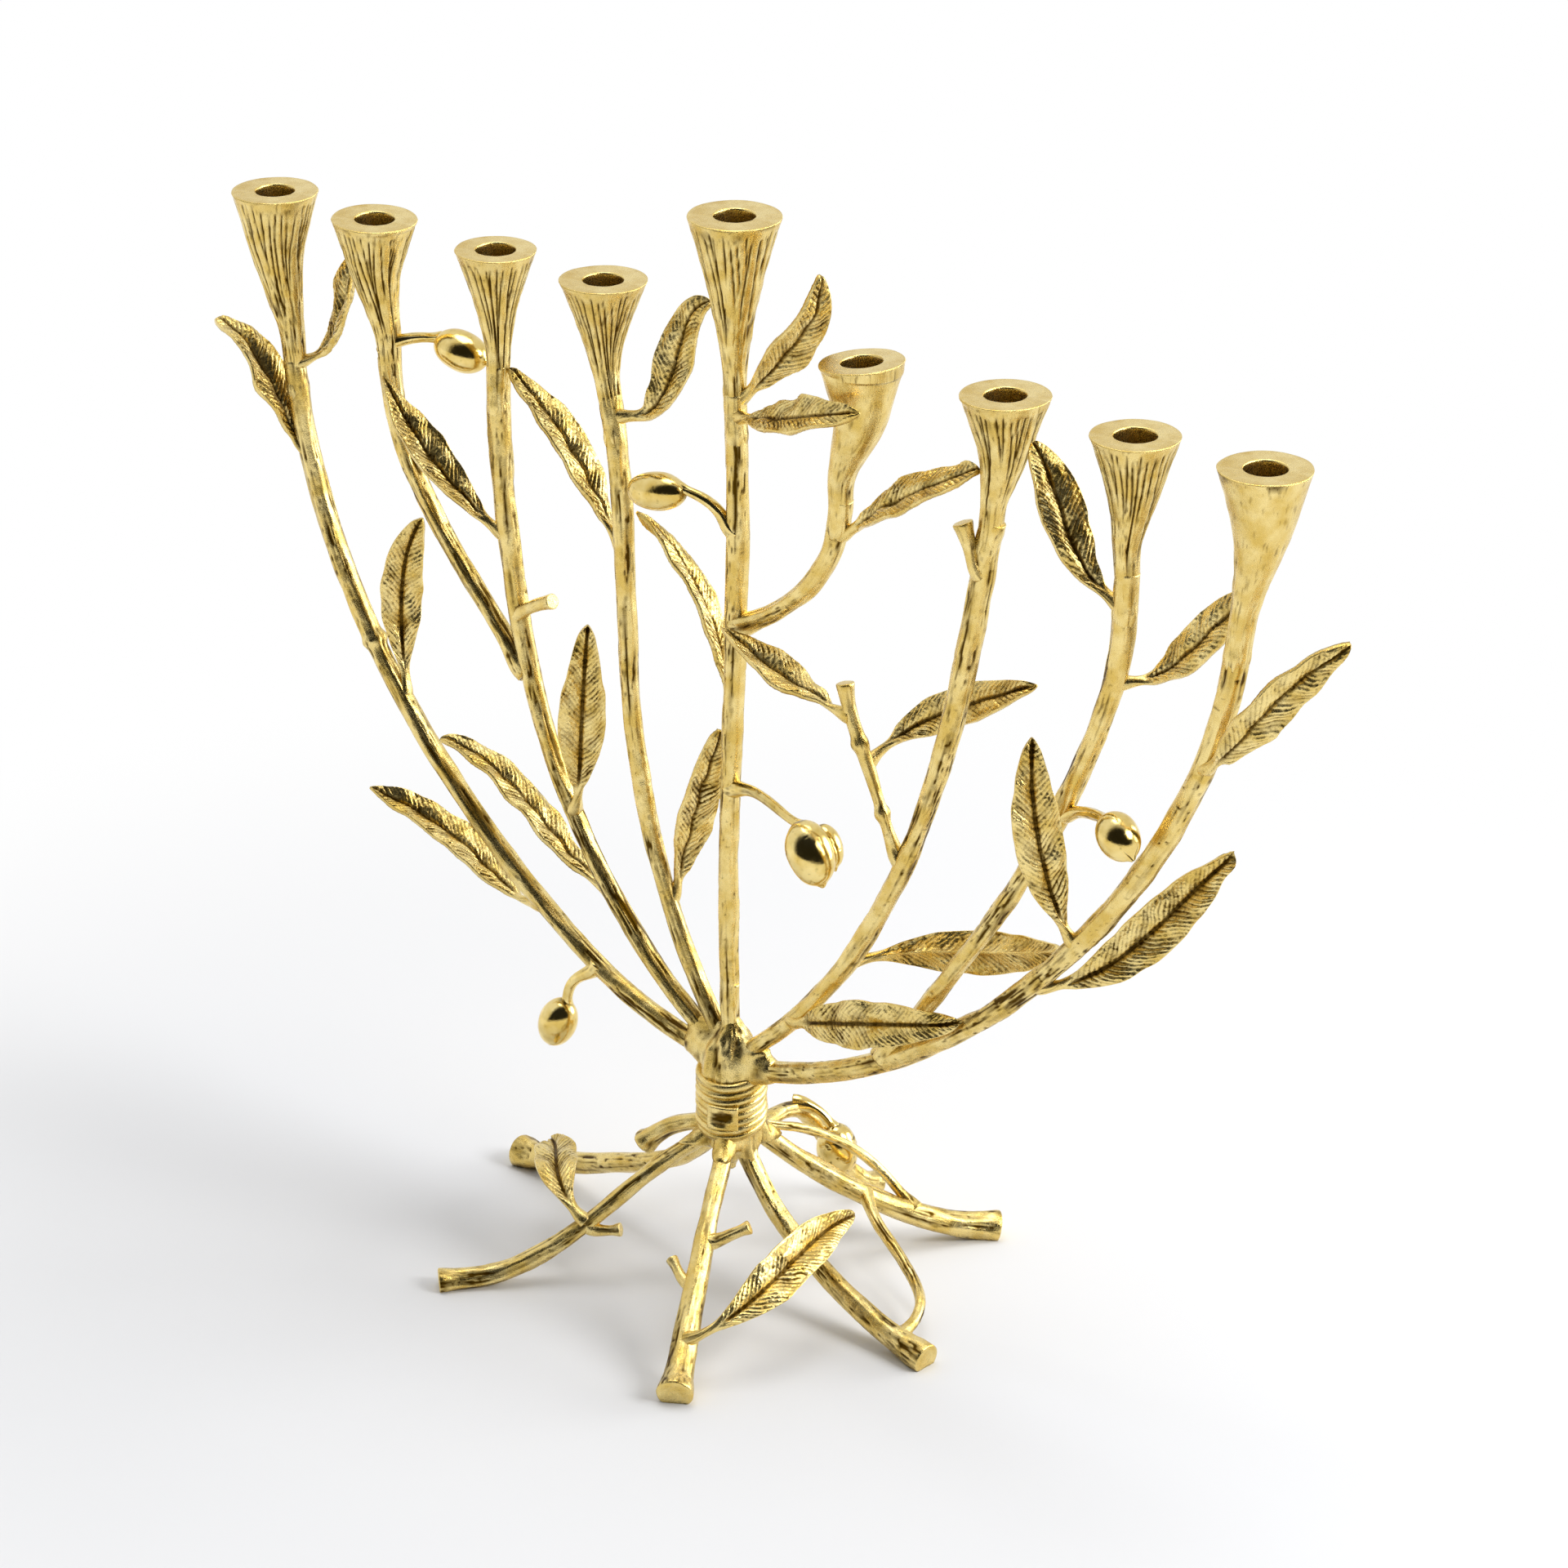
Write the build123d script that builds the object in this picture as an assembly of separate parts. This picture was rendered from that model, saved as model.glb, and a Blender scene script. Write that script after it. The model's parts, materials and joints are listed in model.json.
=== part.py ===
from build123d import *
import os

# A nine-light menorah cast in brass as an olive tree: nine branches rise from a wire-bound trunk that
# stands on six roots, each branch carries a candle cup, and leaves and olives grow from the branches.
# Millimetres. Origin on the ground under the trunk, +X along the row of cups, +Z up.

# ---- candle cups ----
SIDE_CUP_TOP = 270.0        # height of the eight side cups
CENTRE_CUP_TOP = 297.0      # height of the middle (lighting) cup
CANDLE_BORE_RADIUS = 5.2    # takes a standard 9.5 to 10 mm candle
CANDLE_BORE_DEPTH = 10.0
CUP_UPRIGHT = 12.0          # the top of every cup stands plumb over this height
CUP_SHOULDER = 0.5          # how much the flare eases off toward the rim

# cup number: (x, y, rim radius, height of its lower end)
CUPS = {
    1: (-155.5, 0, 11.4, 223),
    2: (-120, 0, 11.2, 232),
    3: (-80, 2, 10.5, 238),
    4: (-44, 2, 11.2, 239),
    5: (0, 0, 11.7, 250),
    6: (42, -3, 10.6, 231),
    7: (82, 1, 11.1, 236),
    8: (121, -1, 10.8, 234),
    9: (156, 1, 11.2, 227),
}

# ---- trunk and binding ----
TRUNK_RADIUS = 7.5          # the bundle of branches inside the wire
BINDING_BOTTOM = 45.0
WIRE = 3.0                  # one turn of the binding wire
WIRE_TURNS = 6
BINDING_TOP = BINDING_BOTTOM + WIRE * WIRE_TURNS
WIRE_BULGE = 0.9            # how far a turn bulges past its valley
KNOT_TOP = 77.0             # where the merged branches have all parted
KNOT_TIP_RADIUS = 5.2
BRANCH_KNOT = [(9.3, 4), (8.8, 9)]      # radius of the merged branches, height above the binding
ROOT_KNOT_BOTTOM = 29.0     # where the merged roots have all parted
ROOT_TIP_RADIUS = 4.5
ROOT_KNOT = [(7.4, 4), (8.3, 10)]       # radius of the merged roots, height above their bottom

# ---- branches: (x, z) of the centreline up to the cup, radius at the trunk and at the cup ----
BRANCHES = {
    5: ([(0, 66), (-1, 130), (1, 195)], 2.6, 2.9),
    1: ([(-4, 64), (-30, 70), (-70, 93), (-106, 126), (-133, 165), (-147, 203)], 2.6, 3.0),
    9: ([(4, 63), (31, 71), (60, 87), (107, 130), (134, 170), (149, 209)], 2.8, 3.1),
    3: ([(-2, 66), (-35, 93), (-62, 137), (-74, 183), (-78, 222)], 2.5, 3.1),
    7: ([(2, 66), (38, 105), (60, 150), (74, 203)], 2.6, 3.1),
    4: ([(-1, 67), (-23, 109), (-33, 150), (-36, 205)], 2.4, 3.0),
    2: ([(-71, 157), (-85, 173), (-104, 196), (-114, 218)], 2.4, 3.0),
    6: ([(0, 188), (14, 196), (30, 214)], 2.5, 3.0),
    8: ([(50, 81), (68, 108), (92, 146), (109, 182), (118, 212)], 2.4, 3.0),
}
TWIG = [(53, 0, 139), (50, -2, 151), (46, -3, 163), (42, -4, 174), (39, -4, 185)]
TWIG_RADII = (1.5, 1.9)

# ---- roots: centreline from the trunk to the cut end, radius at the trunk and at the foot ----
FOOT_HEIGHT = 0.85          # height of a foot's centreline at its end, as a share of its radius,
FOOT_SINK = 0.9             # less this, which is dressed off flat underneath
GROUND_BLOCK = (400, 400, 50)
ROOTS = {
    1: ([(-4, -4, 42), (-14, -14, 33), (-27, -28, 17), (-39, -40, 6), (-54, -56, None)], 2.2, 3.2),
    2: ([(3, -6, 42), (10, -20, 34), (19, -38, 20), (26, -52, 8), (31, -61, None)], 2.4, 4.1),
    3: ([(5, 0, 42), (13, -1, 28), (27, -2, 17), (46, -4, 8), (70, -6, None)], 2.5, 3.4),
    4: ([(4, 6, 42), (11, 16, 31), (20, 29, 19), (31, 45, 8), (43, 61, None)], 2.6, 4.0),
    5: ([(-5, 1, 42), (-18, 3, 28), (-45, 5, 15), (-65, 8, 7), (-83, 10, None)], 2.4, 3.8),
    6: ([(0, 5, 42), (-3, 19, 37), (-4, 33, 34), (-1, 45, 18), (1, 52, 7), (3, 60, None)], 2.3, 3.0),
}
BRACES = {
    "outer": ([(22, 31, 18), (39, 20, 13), (53, 13, 8), (60, -4, 5)], 1.6),
    "inner": ([(3, 6, 43), (10, 25, 35), (16, 37, 25), (29, 41, 12)], 1.3),
}

# ---- pruned twig stubs: centreline, root and tip radius ----
STUBS = {
    "branch_3": ([(-73, 0, 171), (-66, -2, 176), (-58, -3, 180)], 1.3, 1.6),
    "branch_7": ([(77, 0, 222), (76, -2, 229), (73, -3, 236)], 1.6, 2.0),
    "root_1": ([(-27, -28, 17), (-22, -26, 16), (-18, -24, 17)], 1.3, 1.5),
    "root_2_high": ([(15, -30, 26), (19, -26, 29), (24, -22, 32)], 1.3, 1.5),
    "root_2_low": ([(19, -38, 20), (14, -38, 21), (10, -36, 24)], 1.0, 1.3),
    "trunk": ([(-5, -1, 44), (-16, -4, 41), (-24, -7, 34)], 1.9, 2.5),
}

# ---- leaves: midrib points from the petiole to the tip, width, turn about the midrib ----
# With no turn a leaf's face looks toward LEAF_FRONT, the front right from above.
LEAF_FRONT = Vector(0.55, -0.7, 0.45)
LEAF_THICKNESS = 1.5
PETIOLE_RADIUS = 1.3
LEAVES = {
    "branch_1_leaf_a": ([(-66, 0, 89), (-79, 2, 88), (-93, 3, 94), (-108, 1, 101), (-122, -6, 109)], 11, 40),
    "branch_1_leaf_b": ([(-113, 0, 136), (-116, 2, 152), (-116, 3, 170), (-108, 3, 189)], 11, 5),
    "branch_1_leaf_c": ([(-146, 0, 197), (-154, -3, 211), (-163, -4, 225), (-177, -3, 230)], 11, 50),
    "branch_1_leaf_d": ([(-151, 0, 226), (-143, 4, 227), (-138, 8, 242), (-133, 12, 257)], 10, -60),
    "branch_3_leaf_a": ([(-39, 0, 99), (-50, 2, 101), (-63, 2, 109), (-81, 1, 122), (-99, -4, 130)], 11, 50),
    "branch_3_leaf_b": ([(-53, 0, 120), (-48, -4, 141), (-45, -6, 161), (-43, -6, 180)], 11.5, 5),
    "branch_3_leaf_c": ([(-76, 0, 192), (-89, -5, 204), (-101, -7, 216), (-113, -6, 230)], 10.5, 30),
    "branch_4_leaf_a": ([(-20, 0, 101), (-19, 4, 120), (-14, 5, 139), (-7, 4, 157)], 11, 40),
    "branch_4_leaf_b": ([(-36, 0, 198), (-50, 2, 214), (-62, 2, 227), (-76, 1, 239)], 11, 45),
    "branch_4_leaf_c": ([(-39, 1, 236), (-28, 4, 239), (-24, 8, 254), (-14, 10, 269)], 11, -30),
    "branch_5_leaf_a": ([(0, 0, 158), (-8, 3, 180), (-20, 3, 199), (-33, 1, 211)], 10, 60),
    "branch_5_leaf_b": ([(1, 0, 245), (17, -8, 250), (36, -14, 257), (50, -14, 262)], 10.5, -30),
    "branch_5_leaf_c": ([(1, 0, 247), (10, 2, 259), (20, 3, 272), (25, 2, 288)], 10.5, 40),
    "side_twig_leaf_a": ([(45, -3, 164), (53, 6, 173), (69, 10, 183), (86, 12, 192)], 10, -20),
    "side_twig_leaf_b": ([(41, -4, 176), (28, -5, 179), (14, -6, 184), (1, -6, 190)], 10, 45),
    "branch_6_leaf_a": ([(34, 0, 221), (45, -2, 230), (61, -3, 241), (78, 0, 251)], 10.5, -40),
    "branch_7_leaf_a": ([(18, 0, 81), (38, -6, 90), (59, -7, 97), (77, -2, 101)], 12, 5),
    "branch_7_leaf_b": ([(38, 0, 105), (54, 8, 110), (75, 12, 115), (96, 11, 123)], 11.5, 0),
    "branch_8_leaf_a": ([(116, 0, 206), (126, 5, 208), (138, 9, 221), (152, 12, 236)], 10, -35),
    "branch_8_leaf_b": ([(120, 0, 226), (110, -3, 233), (101, -3, 248), (89, 0, 262)], 11, 20),
    "branch_9_leaf_a": ([(95, 0, 117), (107, 4, 121), (124, 13, 138), (141, 20, 160)], 12.5, 5),
    "branch_9_leaf_b": ([(108, 0, 131), (104, -6, 150), (101, -9, 170), (100, -9, 190)], 12, 5),
    "branch_9_leaf_c": ([(143, 0, 190), (153, -4, 200), (164, -2, 215), (180, 6, 231)], 11, 35),
    "root_1_leaf": ([(-27, -28, 17), (-34, -28, 23), (-47, -17, 25), (-60, -4, 21)], 11.5, 10),
    "root_2_leaf": ([(26, -51, 12), (32, -44, 16), (36, -22, 24), (35, 9, 26)], 12, 0),
}

# ---- olives: stem centreline, then centre, axis, half length and radius of each fruit ----
STEM_RADIUS = 1.4
OLIVES = {
    "branch_1_olive": (
        [(-43, 0, 75), (-51, -2, 73), (-55, -3, 63)],
        [((-57, -4, 58), (-4, -1, -12), 7.2, 5.3)],
    ),
    "branch_2_olive": (
        [(-118, 0, 233), (-112, 2, 238), (-103, 6, 239)],
        [((-97, 7, 237), (15, 2, -3), 8.0, 5.3)],
    ),
    "branch_5_olive_high": (
        [(1, 0, 212), (-5, -4, 222), (-12, -6, 224)],
        [((-19, -7, 222), (-16, -1, -3), 8.7, 4.9)],
    ),
    "branch_5_olive_pair": (
        [(0, 0, 142), (12, -4, 146), (24, -8, 145), (29, -9, 144)],
        [((34, -11, 139), (6, -1, -10), 8.5, 6.0), ((37, -4, 140), (5, 0, -9), 7.5, 5.2)],
    ),
    "branch_8_olive": (
        [(104, 0, 167), (112, -3, 171), (121, -7, 173)],
        [((126, -9, 171), (5, -1, -4), 6.3, 5.2)],
    ),
    "root_6_olive": (
        [(-4, 32, 35), (1, 36, 34), (5, 37, 28)],
        [((6, 38, 23), (1, 1, -10), 7.6, 5.6)],
    ),
}


def square_to(tangent, side):
    """The part of side that is perpendicular to tangent."""
    return (side - tangent * side.dot(tangent)).normalized()


def section_plane(path, t, side):
    """A plane across the path at t, with its x along side as nearly as it can be."""
    tangent = path % t
    return Plane(origin=path @ t, x_dir=square_to(tangent, side), z_dir=tangent)


def tube(path, radius_at, side, stations, runs=1):
    """A round bar along the path, lofted in runs of so many stations, with its radius given at each."""
    rings = []
    for i in range(stations * runs + 1):
        t = i / (stations * runs)
        rings.append(section_plane(path, t, side) * Circle(radius_at(t)))
    whole = loft(rings[:stations + 1])
    for first in range(stations, stations * runs, stations):
        whole += loft(rings[first:first + stations + 1])
    return whole.solid()


def taper(start, end):
    """A radius that runs from start to end, most of the change near the end."""
    return lambda t: start + (end - start) * t * t


def side_of(points):
    """A direction across the plane in which a bent bar mostly lies."""
    chord = Vector(points[-1]) - Vector(points[0])
    level = Vector(0, 0, 1).cross(chord)
    return level if level.length > 0.3 * chord.length else Vector(0, 1, 0)


def cup_height(number):
    return CENTRE_CUP_TOP if number == 5 else SIDE_CUP_TOP


def branch_path(number):
    """The centreline of a branch, from the trunk or its parent branch up to the lower end of its cup."""
    outline = BRANCHES[number][0]
    x, y, _, bottom = CUPS[number]
    points = [Vector(px, 0, pz) for px, pz in outline]
    lean = (x - outline[-1][0]) / (cup_height(number) - CUP_UPRIGHT - outline[-1][1])
    end = Vector(outline[-1][0] + lean * (bottom - outline[-1][1]), y * 0.5, bottom)
    return Spline(*points, end)


def branch(number):
    _, start, end = BRANCHES[number]
    return tube(branch_path(number), taper(start, end), Vector(0, 1, 0), 5, runs=3)


def cup(number):
    """A trumpet that grows out of the branch, with a level rim and a candle bore."""
    x, y, rim, _ = CUPS[number]
    top = cup_height(number)
    below = branch_path(number)
    neck = BRANCHES[number][2]
    points = (below @ 1, (x, y, top - CUP_UPRIGHT), (x, y, top))
    path = Spline(*points, tangents=(below % 1, (0, 0, 1)))

    def radius_at(t):
        return neck + (rim - neck) * t * t * (1 + CUP_SHOULDER * (1 - t))

    trumpet = tube(path, radius_at, Vector(0, 1, 0), 8)
    bore = Cylinder(CANDLE_BORE_RADIUS, CANDLE_BORE_DEPTH, align=(Align.CENTER, Align.CENTER, Align.MAX))
    return trumpet - Pos(x, y, top) * bore


def trunk():
    """The merged roots below, the neck inside the binding, and the merged branches above."""
    r = TRUNK_RADIUS
    low, high = ROOT_KNOT_BOTTOM, KNOT_TOP
    swell_low = [(radius, low + up) for radius, up in ROOT_KNOT]
    swell_high = [(radius, BINDING_TOP + up) for radius, up in BRANCH_KNOT]
    roots_side = Spline((ROOT_TIP_RADIUS, low), *swell_low, (r, BINDING_BOTTOM))
    neck = Line((r, BINDING_BOTTOM), (r, BINDING_TOP))
    branches_side = Spline((r, BINDING_TOP), *swell_high, (KNOT_TIP_RADIUS, high))
    closing = Polyline((KNOT_TIP_RADIUS, high), (0, high), (0, low), (ROOT_TIP_RADIUS, low))
    outline = make_face(Curve() + [roots_side, neck, branches_side, closing])
    return revolve(Plane.XZ * outline, Axis.Z)


def binding():
    """The wire wound round the trunk, as turns that bulge."""
    valley = TRUNK_RADIUS + 0.5
    outer = Polyline((valley, BINDING_TOP), (TRUNK_RADIUS, BINDING_TOP), (TRUNK_RADIUS, BINDING_BOTTOM),
                     (valley, BINDING_BOTTOM))
    turns = []
    for i in range(WIRE_TURNS):
        low = BINDING_BOTTOM + i * WIRE
        turns.append(ThreePointArc((valley, low), (valley + WIRE_BULGE, low + WIRE / 2), (valley, low + WIRE)))
    outline = make_face(Curve() + [outer, *turns])
    return revolve(Plane.XZ * outline, Axis.Z)


def root(number):
    """A root from the trunk to a sawn end, its underside dressed flat on the ground."""
    outline, start, end = ROOTS[number]
    foot = FOOT_HEIGHT * end - FOOT_SINK
    points = [Vector(x, y, foot if z is None else z) for x, y, z in outline]
    path = Spline(*points)
    ground = Box(*GROUND_BLOCK, align=(Align.CENTER, Align.CENTER, Align.MAX))
    return tube(path, taper(start, end), side_of(points), 10) - ground


def bar(outline, start, end, stations=6):
    """A short round bar: a brace, a twig, a stub or a stem."""
    return tube(Spline(*outline), lambda t: start + (end - start) * t, side_of(outline), stations)


# share of the length, share of the half width, share of the half thickness
BLADE = [(0.22, 0.42, 0.95), (0.36, 0.82, 0.9), (0.52, 1.0, 0.9), (0.68, 0.92, 0.9), (0.84, 0.62, 0.85),
         (0.94, 0.34, 0.8), (1.0, 0.16, 0.6)]


def lens(half_width, half_thickness):
    """A flat oval bounded by two smooth arcs that meet at its edges."""
    high = [(-0.75, 0.66), (0, 1), (0.75, 0.66)]
    rim = [(-1, 0), *high, (1, 0)]
    upper = Spline(*((half_width * x, half_thickness * y) for x, y in rim))
    lower = Spline(*((half_width * -x, half_thickness * -y) for x, y in rim))
    return make_face(Curve() + [upper, lower])


def leaf(midrib, width, turn):
    """A round petiole that flattens into a blade."""
    path = Spline(*midrib)
    sections = []
    for t, across, through in [(0, 0, 0), (0.1, 0, 0), *BLADE]:
        tangent = path % t
        face = square_to(tangent, LEAF_FRONT).rotate(Axis((0, 0, 0), tangent), turn)
        plane = Plane(origin=path @ t, x_dir=face.cross(tangent), z_dir=tangent)
        half_width = max(across * width / 2, PETIOLE_RADIUS * (1 - t))
        half_thickness = through * LEAF_THICKNESS / 2 or PETIOLE_RADIUS
        sections.append(plane * lens(half_width, half_thickness))
    return loft(sections).solid()


def fruit(centre, axis, half_length, radius):
    """An olive: an ellipse turned about its long axis."""
    arc = EllipticalCenterArc((0, 0), radius, half_length, start_angle=-90, arc_size=180)
    outline = make_face(Curve() + [arc, Line((0, half_length), (0, -half_length))])
    body = revolve(Plane.XZ * outline, Axis.Z)
    return Plane(origin=centre, z_dir=axis) * body


def olive(stem, fruits):
    """The fruits on one stem, then the stem."""
    return [*(fruit(*each) for each in fruits), bar(stem, STEM_RADIUS, STEM_RADIUS * 0.9)]


built = {}


def clear_of_the_rest(solid):
    """Cope a piece where it meets those already built, and keep its main solid."""
    box = solid.bounding_box()
    for others in built.values():
        for other in others:
            near = other.bounding_box()
            apart = any(a > b for a, b in zip(tuple(box.min) + tuple(near.min), tuple(near.max) + tuple(box.max)))
            if not apart:
                solid = max((solid - other).solids(), key=lambda s: s.volume)
    return solid


def add(name, *solids):
    """Fit each solid of a node to what is there, and keep the node."""
    built[name] = []
    for solid in solids:
        built[name].append(clear_of_the_rest(solid))


add("trunk", trunk())
add("binding", binding())
for number in ROOTS:
    add(f"root_{number}", root(number))
for number in BRANCHES:
    add(f"branch_{number}", branch(number))
for number in CUPS:
    add(f"cup_{number}", cup(number))
add("side_twig", bar(TWIG, *TWIG_RADII))
add("root_braces", *(bar(points, radius, radius) for points, radius in BRACES.values()))
add("pruned_stubs", *(bar(*stub) for stub in STUBS.values()))
for name, (stem, fruits) in OLIVES.items():
    add(name, *olive(stem, fruits))
for name, (midrib, width, turn) in LEAVES.items():
    add(name, leaf(midrib, width, turn))

os.makedirs("parts", exist_ok=True)
for name, solids in built.items():
    export_step(solids[0] if len(solids) == 1 else Compound(children=solids), f"parts/{name}.step")
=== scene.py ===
import json
import math

import bpy
import numpy as np
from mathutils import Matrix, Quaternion, Vector


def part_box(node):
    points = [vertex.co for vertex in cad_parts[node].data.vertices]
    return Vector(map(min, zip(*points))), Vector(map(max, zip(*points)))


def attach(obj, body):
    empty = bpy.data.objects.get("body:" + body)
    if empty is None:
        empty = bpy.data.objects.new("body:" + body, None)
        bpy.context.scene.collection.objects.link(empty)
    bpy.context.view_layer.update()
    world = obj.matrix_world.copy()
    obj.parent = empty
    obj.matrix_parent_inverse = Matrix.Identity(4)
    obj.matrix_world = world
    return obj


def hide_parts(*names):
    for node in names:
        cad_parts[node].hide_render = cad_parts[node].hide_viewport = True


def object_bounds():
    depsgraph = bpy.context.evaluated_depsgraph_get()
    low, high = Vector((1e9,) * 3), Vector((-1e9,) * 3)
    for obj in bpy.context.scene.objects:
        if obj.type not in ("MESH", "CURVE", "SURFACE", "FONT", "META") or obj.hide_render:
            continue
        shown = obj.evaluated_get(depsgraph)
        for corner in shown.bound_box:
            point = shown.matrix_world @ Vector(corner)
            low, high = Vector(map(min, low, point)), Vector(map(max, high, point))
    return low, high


# A brass olive-tree menorah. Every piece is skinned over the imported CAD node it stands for: the node's
# mesh is sliced along its length, and the skin follows those slices with the bark, veins, grooves and
# pits added. Work is in millimetres; meshes are written in metres.

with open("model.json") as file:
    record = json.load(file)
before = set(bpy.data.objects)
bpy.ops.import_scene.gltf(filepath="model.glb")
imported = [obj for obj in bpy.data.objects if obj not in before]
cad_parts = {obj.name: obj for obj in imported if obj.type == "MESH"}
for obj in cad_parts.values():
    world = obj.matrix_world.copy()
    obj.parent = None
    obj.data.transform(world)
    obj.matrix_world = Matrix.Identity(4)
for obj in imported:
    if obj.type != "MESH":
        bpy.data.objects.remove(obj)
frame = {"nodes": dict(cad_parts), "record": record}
CAD_BOX = [list(corner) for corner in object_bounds()]
NODES = frame["nodes"]
RECORD = frame["record"]
MM = 1000.0
TAU = 2 * math.pi
LEAF_FRONT = np.array((0.55, -0.7, 0.45))  # the side a leaf's face is turned to


# ---- reading the CAD nodes

def islands(points, tris):
    """The parts of a mesh that share no point, each as (points, triangles)."""
    label = np.arange(len(points))
    while True:
        low = label[tris].min(1)
        after = label.copy()
        for k in range(3):
            np.minimum.at(after, tris[:, k], low)
        after = after[after]
        if (after == label).all():
            break
        label = after
    found = []
    for each in np.unique(label[tris[:, 0]]):
        own = tris[label[tris[:, 0]] == each]
        used, index = np.unique(own, return_inverse=True)
        found.append((points[used], index.reshape(-1, 3)))
    return found


def area(points, tris):
    a, b, c = (points[tris[:, k]] for k in range(3))
    return np.linalg.norm(np.cross(b - a, c - a), axis=1).sum() / 2


def patches(node):
    """The CAD faces of a node as (points, triangles), the largest first."""
    mesh = NODES[node].data
    points = np.empty(len(mesh.vertices) * 3, np.float32)
    mesh.vertices.foreach_get("co", points)
    points = points.reshape(-1, 3).astype(float) * MM
    mesh.calc_loop_triangles()
    tris = np.empty(len(mesh.loop_triangles) * 3, np.int32)
    mesh.loop_triangles.foreach_get("vertices", tris)
    return sorted(islands(points, tris.reshape(-1, 3)), key=lambda f: -area(*f))


def whole(node):
    """All faces of a node as one (points, triangles)."""
    points, tris, base = [], [], 0
    for p, t in patches(node):
        points.append(p)
        tris.append(t + base)
        base += len(p)
    return np.concatenate(points), np.concatenate(tris)


def solids(node):
    """The separate solids of a node, each as (points, triangles)."""
    points, tris = whole(node)
    keys, index = np.unique(np.round(points, 3), axis=0, return_inverse=True)
    return islands(keys, index.ravel()[tris])


def unit(vectors):
    return vectors / np.linalg.norm(vectors, axis=-1, keepdims=True)


def blur(values, sigma):
    """Gaussian smoothing along the first axis; past its ends the values are carried on."""
    if sigma <= 0:
        return values
    reach = int(3 * sigma) + 1
    weights = np.exp(-0.5 * (np.arange(-reach, reach + 1) / sigma) ** 2)
    weights /= weights.sum()
    flat = values.reshape(len(values), -1)
    if len(flat) > reach:
        before = 2 * flat[0] - flat[1 : reach + 1][::-1]
        after = 2 * flat[-1] - flat[-reach - 1 : -1][::-1]
    else:
        before, after = np.repeat(flat[:1], reach, 0), np.repeat(flat[-1:], reach, 0)
    padded = np.concatenate([before, flat, after])
    out = np.stack([np.convolve(padded[:, k], weights, "valid") for k in range(flat.shape[1])], 1)
    return out.reshape(values.shape)


def lengths_along(path):
    steps = np.linalg.norm(np.diff(path, axis=0), axis=1)
    return np.concatenate([[0.0], np.cumsum(steps)])


def resample(path, step, *others):
    """The path and anything measured along it, at even steps."""
    at = lengths_along(path)
    count = max(8, int(round(at[-1] / step)) + 1)
    even = np.linspace(0, at[-1], count)

    def spread(values):
        flat = values.reshape(len(values), -1)
        out = np.stack([np.interp(even, at, flat[:, k]) for k in range(flat.shape[1])], 1)
        return out.reshape((count,) + values.shape[1:])

    return [spread(path)] + [spread(v) for v in others]


def tangents(path):
    return unit(np.gradient(path, axis=0))


def rough_middle(points, start, cell=3.0):
    """A coarse line down the middle of a long thin patch, from the end nearest start."""
    keys, index = np.unique(np.round(points / cell).astype(int), axis=0, return_inverse=True)
    index = index.ravel()
    count = np.bincount(index)
    spots = np.stack([np.bincount(index, points[:, k]) / count for k in range(3)], 1)
    gap = np.linalg.norm(spots[:, None] - spots[None], axis=2)
    gap[gap > cell * 2.3] = np.inf
    far = np.full(len(spots), np.inf)
    far[np.linalg.norm(spots - start, axis=1).argmin()] = 0
    while True:
        nearer = (far[None] + gap).min(1)
        if (nearer >= far - 1e-9).all():
            break
        far = np.minimum(far, nearer)
    known = np.isfinite(far)
    bins = (far[known] / cell).astype(int)
    line = [spots[known][bins == b].mean(0) for b in np.unique(bins)]
    return blur(np.array(line), 1.0)


def slice_at(points, tris, centre, normal, reach):
    """Where a plane crosses the triangles near centre: segment ends, shape (n, 2, 3)."""
    side = (points - centre) @ normal
    over = side[tris] > 0
    mixed = over.any(1) & ~over.all(1)
    near = tris[mixed]
    near = near[np.linalg.norm(points[near].mean(1) - centre, axis=1) < reach]
    if not len(near):
        return None
    found = []
    for k in range(3):
        a, b = near[:, k], near[:, (k + 1) % 3]
        crosses = (side[a] > 0) != (side[b] > 0)
        share = np.where(crosses, side[a] / np.where(crosses, side[a] - side[b], 1), 0)
        found.append((crosses, points[a] + share[:, None] * (points[b] - points[a])))
    first = np.where(found[0][0][:, None], found[0][1], found[1][1])
    last = np.where(found[2][0][:, None], found[2][1], found[1][1])
    return np.stack([first, last], 1)


def slices(patch, start, reach=14.0, step=2.0):
    """The middle, wide axis, half width and half thickness of a bar or blade, along its length."""
    points, tris = patch
    line = rough_middle(points, start)
    for again in range(2):
        line, = resample(line, step)
        way = tangents(line)
        rows = []
        for centre, normal in zip(line, way):
            cut = slice_at(points, tris, centre, normal, reach)
            if cut is None or len(cut) < 6:
                continue
            middle, weight = cut.mean(1), np.linalg.norm(cut[:, 0] - cut[:, 1], axis=1)
            mean = (middle * weight[:, None]).sum(0) / weight.sum()
            around = middle - mean
            wide = np.linalg.eigh((around * weight[:, None]).T @ around)[1][:, 2]
            thin = np.cross(normal, wide)
            span, depth = around @ wide, around @ thin
            mean = mean + wide * (span.max() + span.min()) / 2 + thin * (depth.max() + depth.min()) / 2
            rows.append((mean, wide, np.ptp(span) / 2, np.ptp(depth) / 2))
        line = np.array([r[0] for r in rows])
        if again == 0:
            line = blur(line, 1.0)
    wide = np.array([r[1] for r in rows])
    for k in range(1, len(wide)):
        if wide[k] @ wide[k - 1] < 0:
            wide[k] *= -1
    return line, wide, np.array([r[2] for r in rows]), np.array([r[3] for r in rows])


# ---- noise

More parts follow.
